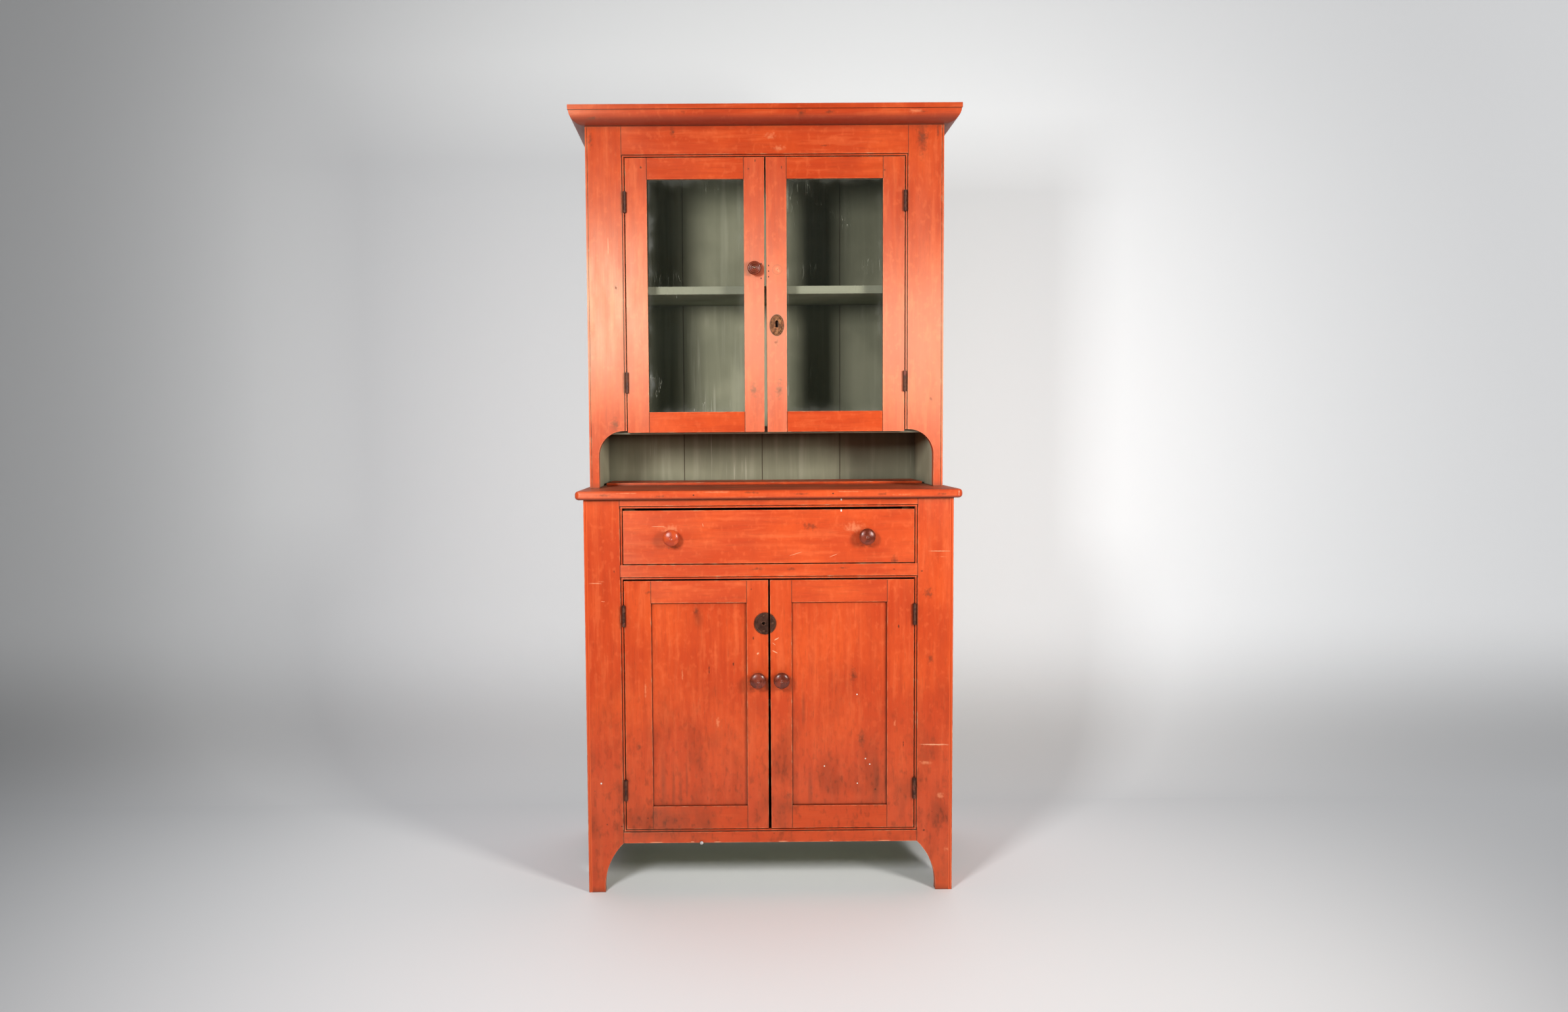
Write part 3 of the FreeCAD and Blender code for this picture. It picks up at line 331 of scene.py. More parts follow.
marks = {
    "upper_stile_right": [
        ("knot", 0.4345, 2.0603, 0.015, 0.022),
        ("stain", 0.4775, 2.0766, 0.006, 0.03),
        ("stain", 0.46, 1.34, 0.008, 0.012),
    ],
    "upper_stile_left": [
        ("stain", -0.4802, 2.0568, 0.007, 0.03),
        ("knot", -0.4156, 1.6528, 0.007, 0.009),
        ("knot", -0.4217, 1.2742, 0.011, 0.008),
    ],
    "frieze_rail": [
        ("pale", 0.0159, 2.0649, 0.02, 0.012),
        ("pale", 0.0384, 2.0324, 0.022, 0.01),
        ("knot", -0.2534, 2.0771, 0.007, 0.006),
        ("stain", 0.165, 2.038, 0.022, 0.003),
    ],
    "cornice_front": [
        ("stain", -0.4681, 2.1055, 0.026, 0.005),
        ("stain", -0.2234, 2.1199, 0.009, 0.005),
        ("stain", 0.1759, 2.1179, 0.02, 0.007),
        ("pale", 0.4081, 2.1198, 0.034, 0.008),
        ("stain", 0.4318, 2.1179, 0.012, 0.004),
        ("knot", 0.1, 2.116, 0.013, 0.006),
    ],
    "upper_left_door_stiles": [
        ("hole", -0.3421, 1.982, 0.0035, 0.006),
        ("hole", -0.0449, 1.9767, 0.0035, 0.0035),
        ("hole", -0.027, 1.998, 0.002, 0.007),
        ("knot", -0.0337, 1.3696, 0.01, 0.009),
        ("nail", -0.0117, 1.7171, 0.002, 0.003),
        ("nail", -0.0119, 1.6774, 0.002, 0.003),
    ],
    "upper_right_door_stiles": [
        ("hole", 0.0456, 1.9797, 0.0025, 0.006),
        ("hole", 0.3306, 1.9714, 0.0035, 0.0035),
        ("ring", 0.0333, 1.7009, 0.0155, 0.0155),
        ("pale", 0.0333, 1.7009, 0.012, 0.012),
        ("hole", 0.0333, 1.7009, 0.0026, 0.0026),
        ("nail", 0.0089, 1.7123, 0.0018, 0.003),
        ("nail", 0.0089, 1.697, 0.0018, 0.003),
        ("nail", 0.0088, 1.6816, 0.0018, 0.003),
        ("stain", 0.03, 1.5004, 0.012, 0.014),
        ("stain", 0.0367, 1.3971, 0.014, 0.005),
        ("knot", 0.0366, 1.3673, 0.01, 0.01),
    ],
    "counter_board": [
        ("pale", -0.14, 1.0925, 0.07, 0.003),
        ("pale", -0.03, 1.079, 0.04, 0.002),
        ("pale", 0.21, 1.092, 0.05, 0.0024),
        ("stain", -0.045, 1.091, 0.035, 0.004),
        ("pale", 0.36, 1.083, 0.04, 0.0022),
        ("pale", -0.38, 1.091, 0.05, 0.002),
        ("stain", -0.44, 1.086, 0.03, 0.005),
        ("stain", -0.29, 1.083, 0.02, 0.004),
        ("nail", -0.2, 1.085, 0.003, 0.0022),
        ("stain", 0.09, 1.086, 0.028, 0.004),
        ("nail", 0.17, 1.087, 0.003, 0.0022),
        ("stain", 0.3, 1.085, 0.018, 0.005),
        ("stain", 0.46, 1.084, 0.022, 0.005),
    ],
    "drawer_top_rail": [("white", 0.194, 1.0706, 0.0022, 0.004)],
    "drawer_front": [
        ("white", 0.1939, 1.0405, 0.0022, 0.004),
        ("knot", 0.3367, 0.9043, 0.01, 0.006),
        ("stain", 0.1098, 0.9983, 0.026, 0.014),
        ("pale", -0.262, 0.994, 0.034, 0.016),
        ("pale", 0.23, 0.994, 0.04, 0.02),
        ("stain", -0.258, 0.946, 0.03, 0.012),
        ("stain", 0.262, 0.951, 0.032, 0.014),
    ],
    "mid_rail": [
        ("stain", -0.03, 0.885, 0.02, 0.006),
        ("stain", 0.06, 0.884, 0.016, 0.006),
        ("stain", 0.2, 0.886, 0.02, 0.004),
        ("hole", 0.335, 0.881, 0.006, 0.003),
    ],
    "lower_stile_right": [
        ("pale", 0.458, 0.9292, 0.036, 0.0022),
        ("pale", 0.465, 0.914, 0.018, 0.0018),
        ("hole", 0.4098, 0.8757, 0.004, 0.0025),
        ("stain", 0.4277, 0.8166, 0.018, 0.02),
        ("stain", 0.4338, 0.6371, 0.012, 0.018),
        ("pale", 0.45, 0.402, 0.05, 0.0045),
        ("pale", 0.421, 0.3532, 0.024, 0.009),
        ("pale", 0.4623, 0.262, 0.014, 0.012),
        ("pale", 0.481, 0.112, 0.012, 0.008),
        ("hole", 0.418, 0.166, 0.004, 0.005),
        ("hole", 0.4405, 0.2177, 0.003, 0.004),
    ],
    "lower_stile_left": [
        ("pale", -0.47, 0.8487, 0.026, 0.002),
        ("pale", -0.45, 0.853, 0.012, 0.003),
        ("hole", -0.4876, 0.8906, 0.003, 0.004),
        ("hole", -0.4152, 0.8806, 0.002, 0.005),
        ("white", -0.4577, 0.3022, 0.0025, 0.0025),
        ("hole", -0.4427, 0.1884, 0.003, 0.005),
        ("hole", -0.4035, 0.183, 0.003, 0.004),
    ],
    "lower_left_door_stiles": [
        ("stain", -0.3244, 0.8225, 0.012, 0.006),
        ("hole", -0.0428, 0.6973, 0.003, 0.006),
        ("hole", -0.048, 0.83, 0.003, 0.003),
        ("stain", -0.04, 0.572, 0.03, 0.028),
        ("stain", -0.3532, 0.4015, 0.01, 0.012),
        ("hole", -0.332, 0.205, 0.003, 0.003),
        ("pale", -0.335, 0.56, 0.004, 0.03),
    ],
    "lower_left_door_panel": [
        ("knot", -0.1963, 0.7705, 0.007, 0.007),
        ("hole", -0.1627, 0.61, 0.0016, 0.02),
        ("hole", -0.0971, 0.6254, 0.003, 0.008),
        ("pale", -0.1402, 0.467, 0.007, 0.02),
        ("pale", -0.235, 0.6, 0.003, 0.022),
        ("streak", -0.262, 0.28, 0.007, 0.11),
        ("streak", -0.243, 0.27, 0.006, 0.1),
        ("streak", -0.226, 0.31, 0.005, 0.08),
        ("streak", -0.29, 0.3, 0.012, 0.12),
        ("streak", -0.19, 0.75, 0.02, 0.04),
    ],
    "lower_right_door_stiles": [
        ("hole", 0.3484, 0.7271, 0.003, 0.008),
        ("pale", 0.3384, 0.4625, 0.005, 0.012),
        ("stain", 0.0501, 0.2656, 0.01, 0.014),
        ("stain", 0.035, 0.574, 0.03, 0.03),
        ("hole", 0.362, 0.405, 0.002, 0.014),
    ],
    "lower_right_door_panel": [
        ("knot", 0.2271, 0.5915, 0.009, 0.01),
        ("knot", 0.2496, 0.4179, 0.01, 0.011),
        ("white", 0.1484, 0.3433, 0.002, 0.002),
        ("white", 0.2718, 0.3475, 0.002, 0.002),
        ("white", 0.26, 0.363, 0.002, 0.002),
        ("white", 0.238, 0.295, 0.002, 0.002),
        ("white", 0.237, 0.54, 0.002, 0.002),
        ("hole", 0.2862, 0.278, 0.003, 0.004),
        ("streak", 0.092, 0.5, 0.008, 0.08),
        ("streak", 0.29, 0.3, 0.014, 0.12),
        ("streak", 0.11, 0.28, 0.01, 0.1),
    ],
    "lower_bottom_rail": [("hole", 0.01, 0.16, 0.003, 0.002)],
}

# Pale strokes left by knocks: x and z of both ends, and half width

strokes = {
    "lower_right_door_stiles": [
        (0.0122, 0.6905, 0.0265, 0.6985, 0.0016),
        (0.0079, 0.6846, 0.0177, 0.6774, 0.0008),
        (0.0066, 0.664, 0.0233, 0.6552, 0.0014),
    ],
    "lower_left_door_stiles": [(-0.0337, 0.6526, -0.0285, 0.658, 0.0024)],
    "lower_bottom_rail": [
        (-0.33, 0.1382, -0.29, 0.1378, 0.0009),
        (-0.217, 0.1388, -0.206, 0.1384, 0.0011),
        (-0.155, 0.1378, -0.132, 0.138, 0.0009),
        (0.02, 0.138, 0.05, 0.1378, 0.0009),
        (0.16, 0.1382, 0.172, 0.1386, 0.0011),
        (0.29, 0.1378, 0.33, 0.138, 0.0009),
    ],
    "upper_stile_left": [(-0.435, 1.742, -0.435, 1.795, 0.0007)],
    "drawer_front": [
        (-0.1773, 1.0087, -0.1752, 0.999, 0.0007),
        (-0.3154, 1.0007, -0.2751, 0.9999, 0.0006),
        (0.1602, 0.9144, 0.1858, 0.9247, 0.0006),
        (0.0526, 0.9185, 0.0911, 0.9306, 0.0006),
    ],
    "lower_stile_left": [(-0.478, 0.8495, -0.446, 0.8478, 0.0006), (-0.452, 0.8, -0.44, 0.799, 0.0006)],
    "lower_stile_right": [(0.424, 0.9298, 0.492, 0.9288, 0.0007), (0.402, 0.4035, 0.49, 0.4015, 0.0012)],
}

# Plain paint over the outer corner of the lower stiles

for side, x in (("left", -0.4893), ("right", 0.4893)):
    marks["lower_stile_" + side].append(("plain", x, 0.536, 0.0042, 0.536))

# Seams between the back boards, on both of their faces

BOARD_PITCH = 0.242
SEAM_HALF = 0.002
seams = {}
for case, middle, half_height in (("upper", 1.61, 0.52), ("lower", 0.6, 0.48)):
    places = (-BOARD_PITCH, 0.0, BOARD_PITCH)
    seams[case + "_back_boards"] = [("seam", x, middle, SEAM_HALF, half_height) for x in places]

# Lines where a rail's shoulder meets a stile, in x, with the heights of the rails

JOINT_HALF = 0.0017
joint_lines = (
    (("upper_{}_door_stiles", "upper_{}_door_rails"), (0.3266, 0.059), ((1.252, 1.309), (1.949, 2.008))),
    (("lower_{}_door_stiles", "lower_{}_door_rails"), (0.3176, 0.0605), ((0.176, 0.238), (0.793, 0.853))),
    (("upper_stile_{}", "frieze_rail"), (0.396,), ((2.009, 2.127),)),
    (("lower_stile_{}", "lower_bottom_rail", "mid_rail"), (0.399,), ((0.136, 0.173), (0.858, 0.897))),
    (("lower_stile_{}", "drawer_top_rail"), (0.399,), ((1.049, 1.073),)),
)
for patterns, places, spans in joint_lines:
    for side, sign in (("left", -1), ("right", 1)):
        for piece_name in [pattern.format(side) for pattern in patterns]:
            found = marks.setdefault(piece_name, [])
            for x in places:
                found += [("joint", sign * x, (a + b) / 2, JOINT_HALF, (b - a) / 2) for a, b in spans]

# Looks of the marks: colour, strength and softness

mark_looks = {
    "knot": (KNOT_BROWN, 0.65, 0.8),
    "stain": (GRIME, 0.6, 0.9),
    "pale": (PAINT_WORN, 0.5, 0.95),
    "hole": (DARK_DIRT_AND_SHADE, 0.8, 0.7),
    "plain": (PAINT_BASE, 1.0, 0.4),
    "streak": (GRIME, 0.4, 1.0),
    "nail": (DARK_DIRT_AND_SHADE, 0.95, 0.35),
    "joint": (JOINT_RED, 0.8, 0.7),
    "seam": (DARK_DIRT_AND_SHADE, 0.85, 0.7),
    "white": (WHITE_PAINT, 1.0, 0.2),
    "ring": (GRIME, 0.3, 0.9),
}


def add_strokes(tree, color, place, found):
    """Lays pale strokes over the paint, each thickest in its middle."""
    for x0, z0, x1, z1, half_width in found:
        length = Vector((x1 - x0, z1 - z0)).length
        along = ((x1 - x0) / length, 0.0, (z1 - z0) / length)
        offset = tree.vector("SUBTRACT", place, ((x0 + x1) / 2, 0.0, (z0 + z1) / 2))
        forward = tree.vector("DOT_PRODUCT", offset, along, output=1)
        across = tree.vector("DOT_PRODUCT", offset, (-along[2], 0.0, along[0]), output=1)
        span = tree.math("DIVIDE", forward, length / 2)
        offline = tree.math("DIVIDE", across, half_width)
        reach = tree.plus(tree.times(span, span), tree.times(offline, offline))
        reach = tree.plus(reach, tree.times(tree.noise(place, 420.0, 3.0), 0.5))
        color = tree.mix(tree.ramp(reach, 1.2, 0.8, 0.0, 0.85), color, CHIP)
    return color


def add_marks(tree, color, place, found):
    """Lays the marks of one piece over its paint; the second result is where they dull it."""
    dull = 0.0
    if not found:
        return color, dull
    ragged = tree.noise(place, 130.0, 4.0)
    for kind, x, z, half_width, half_height in found:
        tint, strength, softness = mark_looks[kind]
        offset = tree.vector("SUBTRACT", place, (x, 0.0, z))
        scaled = tree.stretch(offset, (1 / half_width, 0.0, 1 / half_height))
        reach = tree.vector("LENGTH", scaled, output=1)
        if kind in ("joint", "plain", "seam"):
            sides = tree.split(tree.vector("ABSOLUTE", scaled))
            reach = tree.math("MAXIMUM", sides[0], tree.math("GREATER_THAN", sides[2], 1.0))
        if kind == "ring":
            reach = tree.times(tree.math("ABSOLUTE", tree.math("SUBTRACT", reach, 0.85)), 6.0)
        rough_edge = tree.times(tree.math("SUBTRACT", ragged, 0.45), 2.2)
        if kind == "knot":
            streak = tree.stretch(offset, (0.8 / half_width, 0.0, 0.36 / half_height))
            halo = tree.plus(tree.vector("LENGTH", streak, output=1), rough_edge)
            color = tree.mix(tree.ramp(halo, 1.2, 0.3, 0.0, 0.4), color, GRIME)
        if kind in ("stain", "pale", "knot", "hole"):
            reach = tree.plus(reach, rough_edge)
        share = tree.ramp(reach, 1.0, 1.0 - softness, 0.0, strength)
        color = tree.mix(share, color, tint)
        if kind in ("knot", "stain", "hole", "nail", "joint"):
            dull = tree.math("MAXIMUM", dull, share)
    return color, dull


# Wooden pieces of the frame

GRAIN_X = ("rail", "counter", "cornice_front", "cornice_top", "shelf", "floor_board", "ledge")
GRAIN_X += ("drawer_front", "drawer_back", "drawer_bottom")
GRAIN_Y = ("cornice_returns", "drawer_sides", "runners", "cleats")
GREEN_BOARDS = ("upper_shelf", "lower_shelf", "upper_floor_board", "lower_floor_board", "shelf_cleats")
WEAR_RADIUS = 0.003
WOOD_RELIEF = {"Strength": 0.45, "Distance": 0.0006}
ANISOTROPY = 0.86
SHEEN_TURN = 0.25
SPECULAR_LEVEL = 0.93
SPECULAR_TINT = (1.0, 0.89, 0.62, 1.0)


def grain_axis(name):
    """Axis that a piece's grain runs along: 0 for x, 1 for y, 2 for z."""
    if any(word in name for word in GRAIN_Y):
        return 1
    if any(word in name for word in GRAIN_X):
        return 0
    return 2


def wood_finish(name):
    """Finish of a piece, the finish of its hidden side, and the direction that side faces."""
    if name.endswith("back_boards"):
        return "green", "pine", (0.0, 1.0, 0.0)
    if name.startswith(("upper_side", "lower_side")):
        return "paint", "green", (1.0 if name.endswith("left") else -1.0, 0.0, 0.0)
    if name.startswith(("cornice_front", "cornice_returns", "lower_stile")):
        return "paint", "pine", (0.0, 1.0, 0.0)
    if name == "cornice_top_board":
        return "paint", "pine", (0.0, 0.0, 1.0)
    if name == "counter_board":
        return "paint", "pine", (0.0, 0.0, -1.0)
    if name in GREEN_BOARDS:
        return "green", "green", None
    if name.startswith("drawer_") and name not in ("drawer_front", "drawer_top_rail"):
        return "pine", "pine", None
    if name == "drawer_front":
        return "paint", "pine", (0.0, 1.0, 0.0)
    return "paint", "green", (0.0, 1.0, 0.0)


def worn_axes(name):
    """Directions across which a piece's edges lie open to wear; a rail's ends are hidden in its joints."""
    if "cornice" in name:
        return (0.0, 0.0, 0.0)
    if "rail" in name:
        return (0.0, 0.0, 1.0)
    return (1.0, 0.0, 1.0) if "stile" in name else (1.0, 1.0, 1.0)


def wood_material(name):
    outer, inner, inward = wood_finish(name)
    material, tree, shader = new_material(name + "_finish")
    coords = tree.node("TexCoord").outputs
    place = coords["Object"]
    axes = tree.split(place)
    along = grain_axis(name)
    order = {0: (2, 1, 0), 1: (0, 2, 1), 2: (0, 1, 2)}[along]
    grain = tree.node("CombineXYZ", {i: axes[k] for i, k in enumerate(order)}).outputs[0]
    if name.endswith("back_boards"):
        from_edge = tree.plus(axes[0], 2 * BOARD_PITCH)
        board = tree.math("FLOOR", tree.math("DIVIDE", from_edge, BOARD_PITCH))
        shift = tree.node("CombineXYZ", {0: tree.times(board, 0.37), 2: tree.times(board, 1.7)})
        grain = tree.vector("ADD", grain, shift.outputs[0])
    worn = tree.edge_turn(WEAR_RADIUS, worn_axes(name))

    def layer(finish):
        values = {"Grain": grain, "Place": place, "Worn": worn}
        made = tree.node("Group", values, node_tree=finishes[finish])
        return [made.outputs[key] for key in ("Color", "Roughness", "Height")]

    color, rough, height = layer(outer)
    color, dull = add_marks(tree, color, place, marks.get(name))
    rough = tree.math("MAXIMUM", rough, dull)
    color = add_strokes(tree, color, place, strokes.get(name, ()))
    if inward:
        facing = tree.vector("DOT_PRODUCT", coords["Normal"], inward, output=1)
        share = tree.ramp(facing, 0.93, 0.98)
        under = layer(inner)
        color = tree.mix(share, color, under[0])
        rough = tree.blend(share, rough, under[1])
        height = tree.blend(share, height, under[2])
    color = add_marks(tree, color, place, seams.get(name))[0]
    tree.feed(shader.inputs["Base Color"], color)
    tree.feed(shader.inputs["Roughness"], rough)
    bump = tree.node("Bump", {"Height": height, **WOOD_RELIEF})
    tree.feed(shader.inputs["Normal"], bump.outputs[0])
    fibres = tuple(1.0 if axis == along else 0.01 * (axis + 1) for axis in range(3))
    tree.feed(shader.inputs["Tangent"], tree.turned(fibres, "OBJECT", "WORLD"))
    shader.inputs["Anisotropic"].default_value = ANISOTROPY
    shader.inputs["Anisotropic Rotation"].default_value = SHEEN_TURN
    shader.inputs["Specular IOR Level"].default_value = SPECULAR_LEVEL
    shader.inputs["Specular Tint"].default_value = SPECULAR_TINT
    return material


def plain_material(name, fill, bump_depth=0.0004):
    """Material of one finish; fill gives a colour, a roughness, a height and the share of metal."""
    material, tree, shader = new_material(name)
    color, rough, height, metal = fill(tree, tree.node("TexCoord").outputs["Object"])
    tree.feed(shader.inputs["Base Color"], color)
    tree.feed(shader.inputs["Roughness"], rough)
    tree.feed(shader.inputs["Metallic"], metal)
    bump = tree.node("Bump", {"Height": height, "Strength": 0.5, "Distance": bump_depth})
    tree.feed(shader.inputs["Normal"], bump.outputs[0])
    return material


def knob_fill(tree, place):
    cloud = tree.noise(place, 55.0, 5.0)
    color = tree.mix(tree.ramp(cloud, 0.4, 0.64), srgb(96, 37, 21), srgb(132, 51, 28))
    paint = tree.ramp(tree.noise(tree.vector("ADD", place, (1.3, 0.2, 2.0)), 34.0, 5.0), 0.55, 0.66)
    color = tree.mix(tree.times(paint, 0.5), color, srgb(176, 66, 34))
    left_pull = tree.ramp(tree.split(place)[0], -0.15, -0.2, 0.0, 0.8)
    redder = tree.mix(tree.ramp(cloud, 0.45, 0.6), srgb(212, 82, 38), srgb(180, 62, 28))
    color = tree.mix(left_pull, color, redder)
    rubbed = tree.ramp(tree.edges(0.003), 0.15, 0.6)
    color = tree.mix(tree.times(rubbed, 0.3), color, srgb(176, 100, 66))
    # Dirt and painted shade where the knob meets the door
    color = tree.dirty(color, 0.008, 0.8)
    return color, tree.ramp(cloud, 0.3, 0.7, 0.22, 0.36), cloud, 0.0


def iron_fill(tree, place):
    cloud = tree.noise(place, 120.0, 5.0)
    color = tree.mix(tree.ramp(cloud, 0.38, 0.66), srgb(64, 34, 24), srgb(100, 62, 45))
    paint = tree.ramp(tree.noise(place, 46.0, 4.0), 0.58, 0.66)
    color = tree.mix(tree.times(paint, 0.5), color, srgb(150, 62, 38))
    # Dirt and painted shade in the hinge's hollows
    color = tree.dirty(color, 0.006, 0.7)
    return color, tree.ramp(cloud, 0.3, 0.7, 0.42, 0.62), cloud, tree.ramp(paint, 0.0, 1.0, 0.45, 0.0)


def plate_fill(tree, place):
    cloud = tree.noise(place, 90.0, 6.0)
    color = tree.mix(tree.ramp(cloud, 0.3, 0.72), srgb(54, 28, 17), srgb(78, 42, 25))
    rubbed = tree.ramp(tree.edges(0.0015), 0.15, 0.6)
    color = tree.mix(tree.times(rubbed, 0.5), color, srgb(150, 98, 68))
    # Dirt and painted shade round the rims and screws
    color = tree.dirty(color, 0.004, 0.8)
    return color, tree.ramp(cloud, 0.3, 0.7, 0.34, 0.52), cloud, 0.35


def brass_fill(tree, place):
    cloud = tree.noise(place, 190.0, 5.0)
    color = tree.mix(tree.ramp(cloud, 0.36, 0.66), srgb(112, 70, 44), srgb(168, 114, 72))
    paint = tree.ramp(tree.noise(place, 95.0, 4.0), 0.54, 0.64)
    color = tree.mix(tree.times(paint, 0.35), color, srgb(170, 76, 46))
    # Dark patina and painted shade in the hollows of the border
    color = tree.dirty(color, 0.003, 0.9, srgb(52, 26, 17))
    return color, tree.ramp(cloud, 0.3, 0.7, 0.36, 0.5), cloud, 0.45


def steel_fill(tree, place):
    cloud = tree.noise(place, 260.0, 4.0)
    color = tree.mix(tree.ramp(cloud, 0.4, 0.66), srgb(120, 92, 76), srgb(196, 172, 150))
    # Dirt and painted shade in the screw slots
    color = tree.dirty(color, 0.002, 0.9)
    return color, tree.ramp(cloud, 0.3, 0.7, 0.3, 0.46), cloud, 0.7


def black_iron_fill(tree, place):
    cloud = tree.noise(place, 90.0, 5.0)
    color = tree.mix(tree.ramp(cloud, 0.4, 0.66), srgb(38, 34, 32), srgb(78, 62, 52))
    return color, tree.ramp(cloud, 0.3, 0.7, 0.45, 0.65), cloud, 0.6


def wax_fill(tree, place):
    cloud = tree.noise(place, 300.0, 4.0)
    color = tree.mix(tree.ramp(cloud, 0.35, 0.65), srgb(176, 170, 168), srgb(226, 224, 226))
    return color, 0.35, cloud, 0.0


def putty_fill(tree, place):
    cloud = tree.noise(place, 70.0, 5.0)
    color = tree.mix(tree.ramp(cloud, 0.4, 0.66), srgb(120, 108, 86), srgb(158, 144, 116))
    return color, 0.8, cloud, 0.0


GLASS_IOR = 2.4


def glass_material(name, low, high):
    """Old sheet glass, dusty round its edges, with a painted reflection of a lamp along the inner edge of
    the right pane.
    """
    material, tree, shader = new_material(name)
    place = tree.node("TexCoord").outputs["Object"]
    middle = (low + high) / 2
    half = (high - low) / 2
    offset = tree.vector("ABSOLUTE", tree.vector("SUBTRACT", place, middle))
    inset = tree.split(tree.vector("SUBTRACT", half, offset))
    rim = tree.math("MINIMUM", inset[0], inset[2])
    cloud = tree.noise(place, 22.0, 6.0)
    dust = tree.ramp(tree.plus(rim, tree.times(cloud, 0.07)), 0.075, 0.03)
    line = tree.noise(tree.stretch(place, (70.0, 1.0, 5.0)), 1.0, 2.0, 1.5)
    thin = tree.ramp(tree.math("ABSOLUTE", tree.math("SUBTRACT", line, 0.5)), 0.005, 0.001)
    rare = tree.ramp(tree.noise(place, 9.0), 0.56, 0.66)
    scratch = tree.times(thin, rare)
    fleck = tree.specks(place, 30.0, 0.03, 0.7)
    dirt_and_painted_light = tree.math("MAXIMUM", tree.times(dust, 0.3), tree.math("MAXIMUM", scratch, fleck))
    haze = tree.ramp(tree.noise(place, 5.0, 3.0), 0.3, 0.7, 0.05, 0.1)
    # Painted reflection of a lamp: a broken pale band along the inner edge of the right pane
    across = tree.split(place)[0]
    band = tree.times(tree.ramp(across, 0.0665, 0.0635), tree.ramp(across, 0.0, 0.01))
    broken = tree.noise(tree.stretch(place, (1.0, 1.0, 14.0)), 1.0, 3.0)
    painted_reflection = tree.times(band, tree.ramp(broken, 0.38, 0.66))
    dirt_and_painted_light = tree.math("MAXIMUM", dirt_and_painted_light, painted_reflection)
    tree.feed(shader.inputs["Base Color"], tree.mix(dirt_and_painted_light, srgb(60, 66, 58), srgb(176, 176, 158)))
    tree.feed(shader.inputs["Alpha"], tree.math("MAXIMUM", tree.times(dirt_and_painted_light, 0.45), haze))
    tree.feed(shader.inputs["Roughness"], tree.ramp(dust, 0.0, 1.0, 0.05, 0.3))
    shader.inputs["IOR"].default_value = GLASS_IOR
    wave = tree.noise(tree.stretch(place, (9.0, 1.0, 5.0)), 1.0, 1.0)
    bump = tree.node("Bump", {"Height": wave, "Strength": 0.25, "Distance": 0.004})
    tree.feed(shader.inputs["Normal"], bump.outputs[0])
    return material


small_finishes = {
    "turned_knob": plain_material("knob_finish", knob_fill),
    "hinge_iron": plain_material("hinge_finish", iron_fill),
    "lock_iron": plain_material("lock_finish", black_iron_fill),
    "stamped_brass": plain_material("brass_finish", brass_fill, 0.0002),
    "worn_plate": plain_material("plate_finish", plate_fill, 0.0003),
    "glazing_putty": plain_material("putty_finish", putty_fill),
}
screw_finish = plain_material("screw_finish", steel_fill, 0.0002)

WELD_DISTANCE = 0.00002
SOFT_EDGE = 0.0007
SHARP_ANGLE = 0.7


def soften(piece):
    """Takes the sharpness off a board's edges, as years of use do."""
    weld = piece.modifiers.new("weld", "WELD")
    weld.merge_threshold = WELD_DISTANCE
    bevel = piece.modifiers.new("soft_edges", "BEVEL")
    bevel.width = SOFT_EDGE
    bevel.segments = 2
    bevel.limit_method = "ANGLE"
    bevel.angle_limit = SHARP_ANGLE
    smooth = piece.modifiers.new("normals", "WEIGHTED_NORMAL")
    smooth.keep_sharp = False


KEYHOLE_STILES = ("upper_right_door_stiles", "lower_left_door_stiles")
for entry in frame["record"]["subparts"]:
    node_name, slot_name = entry["node"], entry["material_slot"]
    piece = nodes[node_name]
    if slot_name == "window_glass":
        finish = glass_material(node_name + "_finish", *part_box(node_name))
    elif slot_name in small_finishes:
        finish = small_finishes[slot_name]
    else:
        finish = wood_material(node_name)
        if node_name not in KEYHOLE_STILES:
            soften(piece)
    piece.material_slots[0].material = finish

# Added pieces


def add_piece(name, points, faces, body, slot, finish):
    mesh = bpy.data.meshes.new(name)
    mesh.from_pydata(points, [], faces)
    mesh.validate()
    mesh.materials.append(finish)
    mesh.shade_smooth()
    piece = bpy.data.objects.new(name, mesh)
    bpy.context.scene.collection.objects.link(piece)
    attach(piece, body)
    return piece


def tube_faces(rings, sides, closed):
    """Faces between the rings of a tube, whose ends meet if it is closed."""
    faces = []
    for ring in range(rings if closed else rings - 1):
        near, far = ring * sides, (ring + 1) % rings * sides
        for index in range(sides):
            after = (index + 1) % sides
            faces.append((near + index, near + after, far + after, far + index))
    return faces


def lathe(profile, centre, segments=56):
    """Points and faces of a piece turned about an axis that runs to the front, on which the profile ends."""
    points = []
    faces = tube_faces(len(profile), segments, False)
    for radius, forward in profile:
        for index in range(segments):
            turn = 2 * pi * index / segments
            points.append(centre + Vector((radius * cos(turn), -forward, radius * sin(turn))))
    points.append(centre + Vector((0, -profile[-1][1], 0)))
    last = (len(profile) - 1) * segments
    for index in range(segments):
        faces.append((last + index, last + (index + 1) % segments, len(points) - 1))
    faces.append(tuple(reversed(range(segments))))
    return points, faces


def gather(parts):
    """One set of points and faces out of several."""
    points, faces = [], []
    for part_points, part_faces in parts:
        base = len(points)
        points += part_points
        faces += [tuple(index + base for index in face) for face in part_faces]
    return points, faces


SLOT_SHARE, CROWN_SHARE, SHOULDER_SHARE = 0.16, 0.72, 0.45


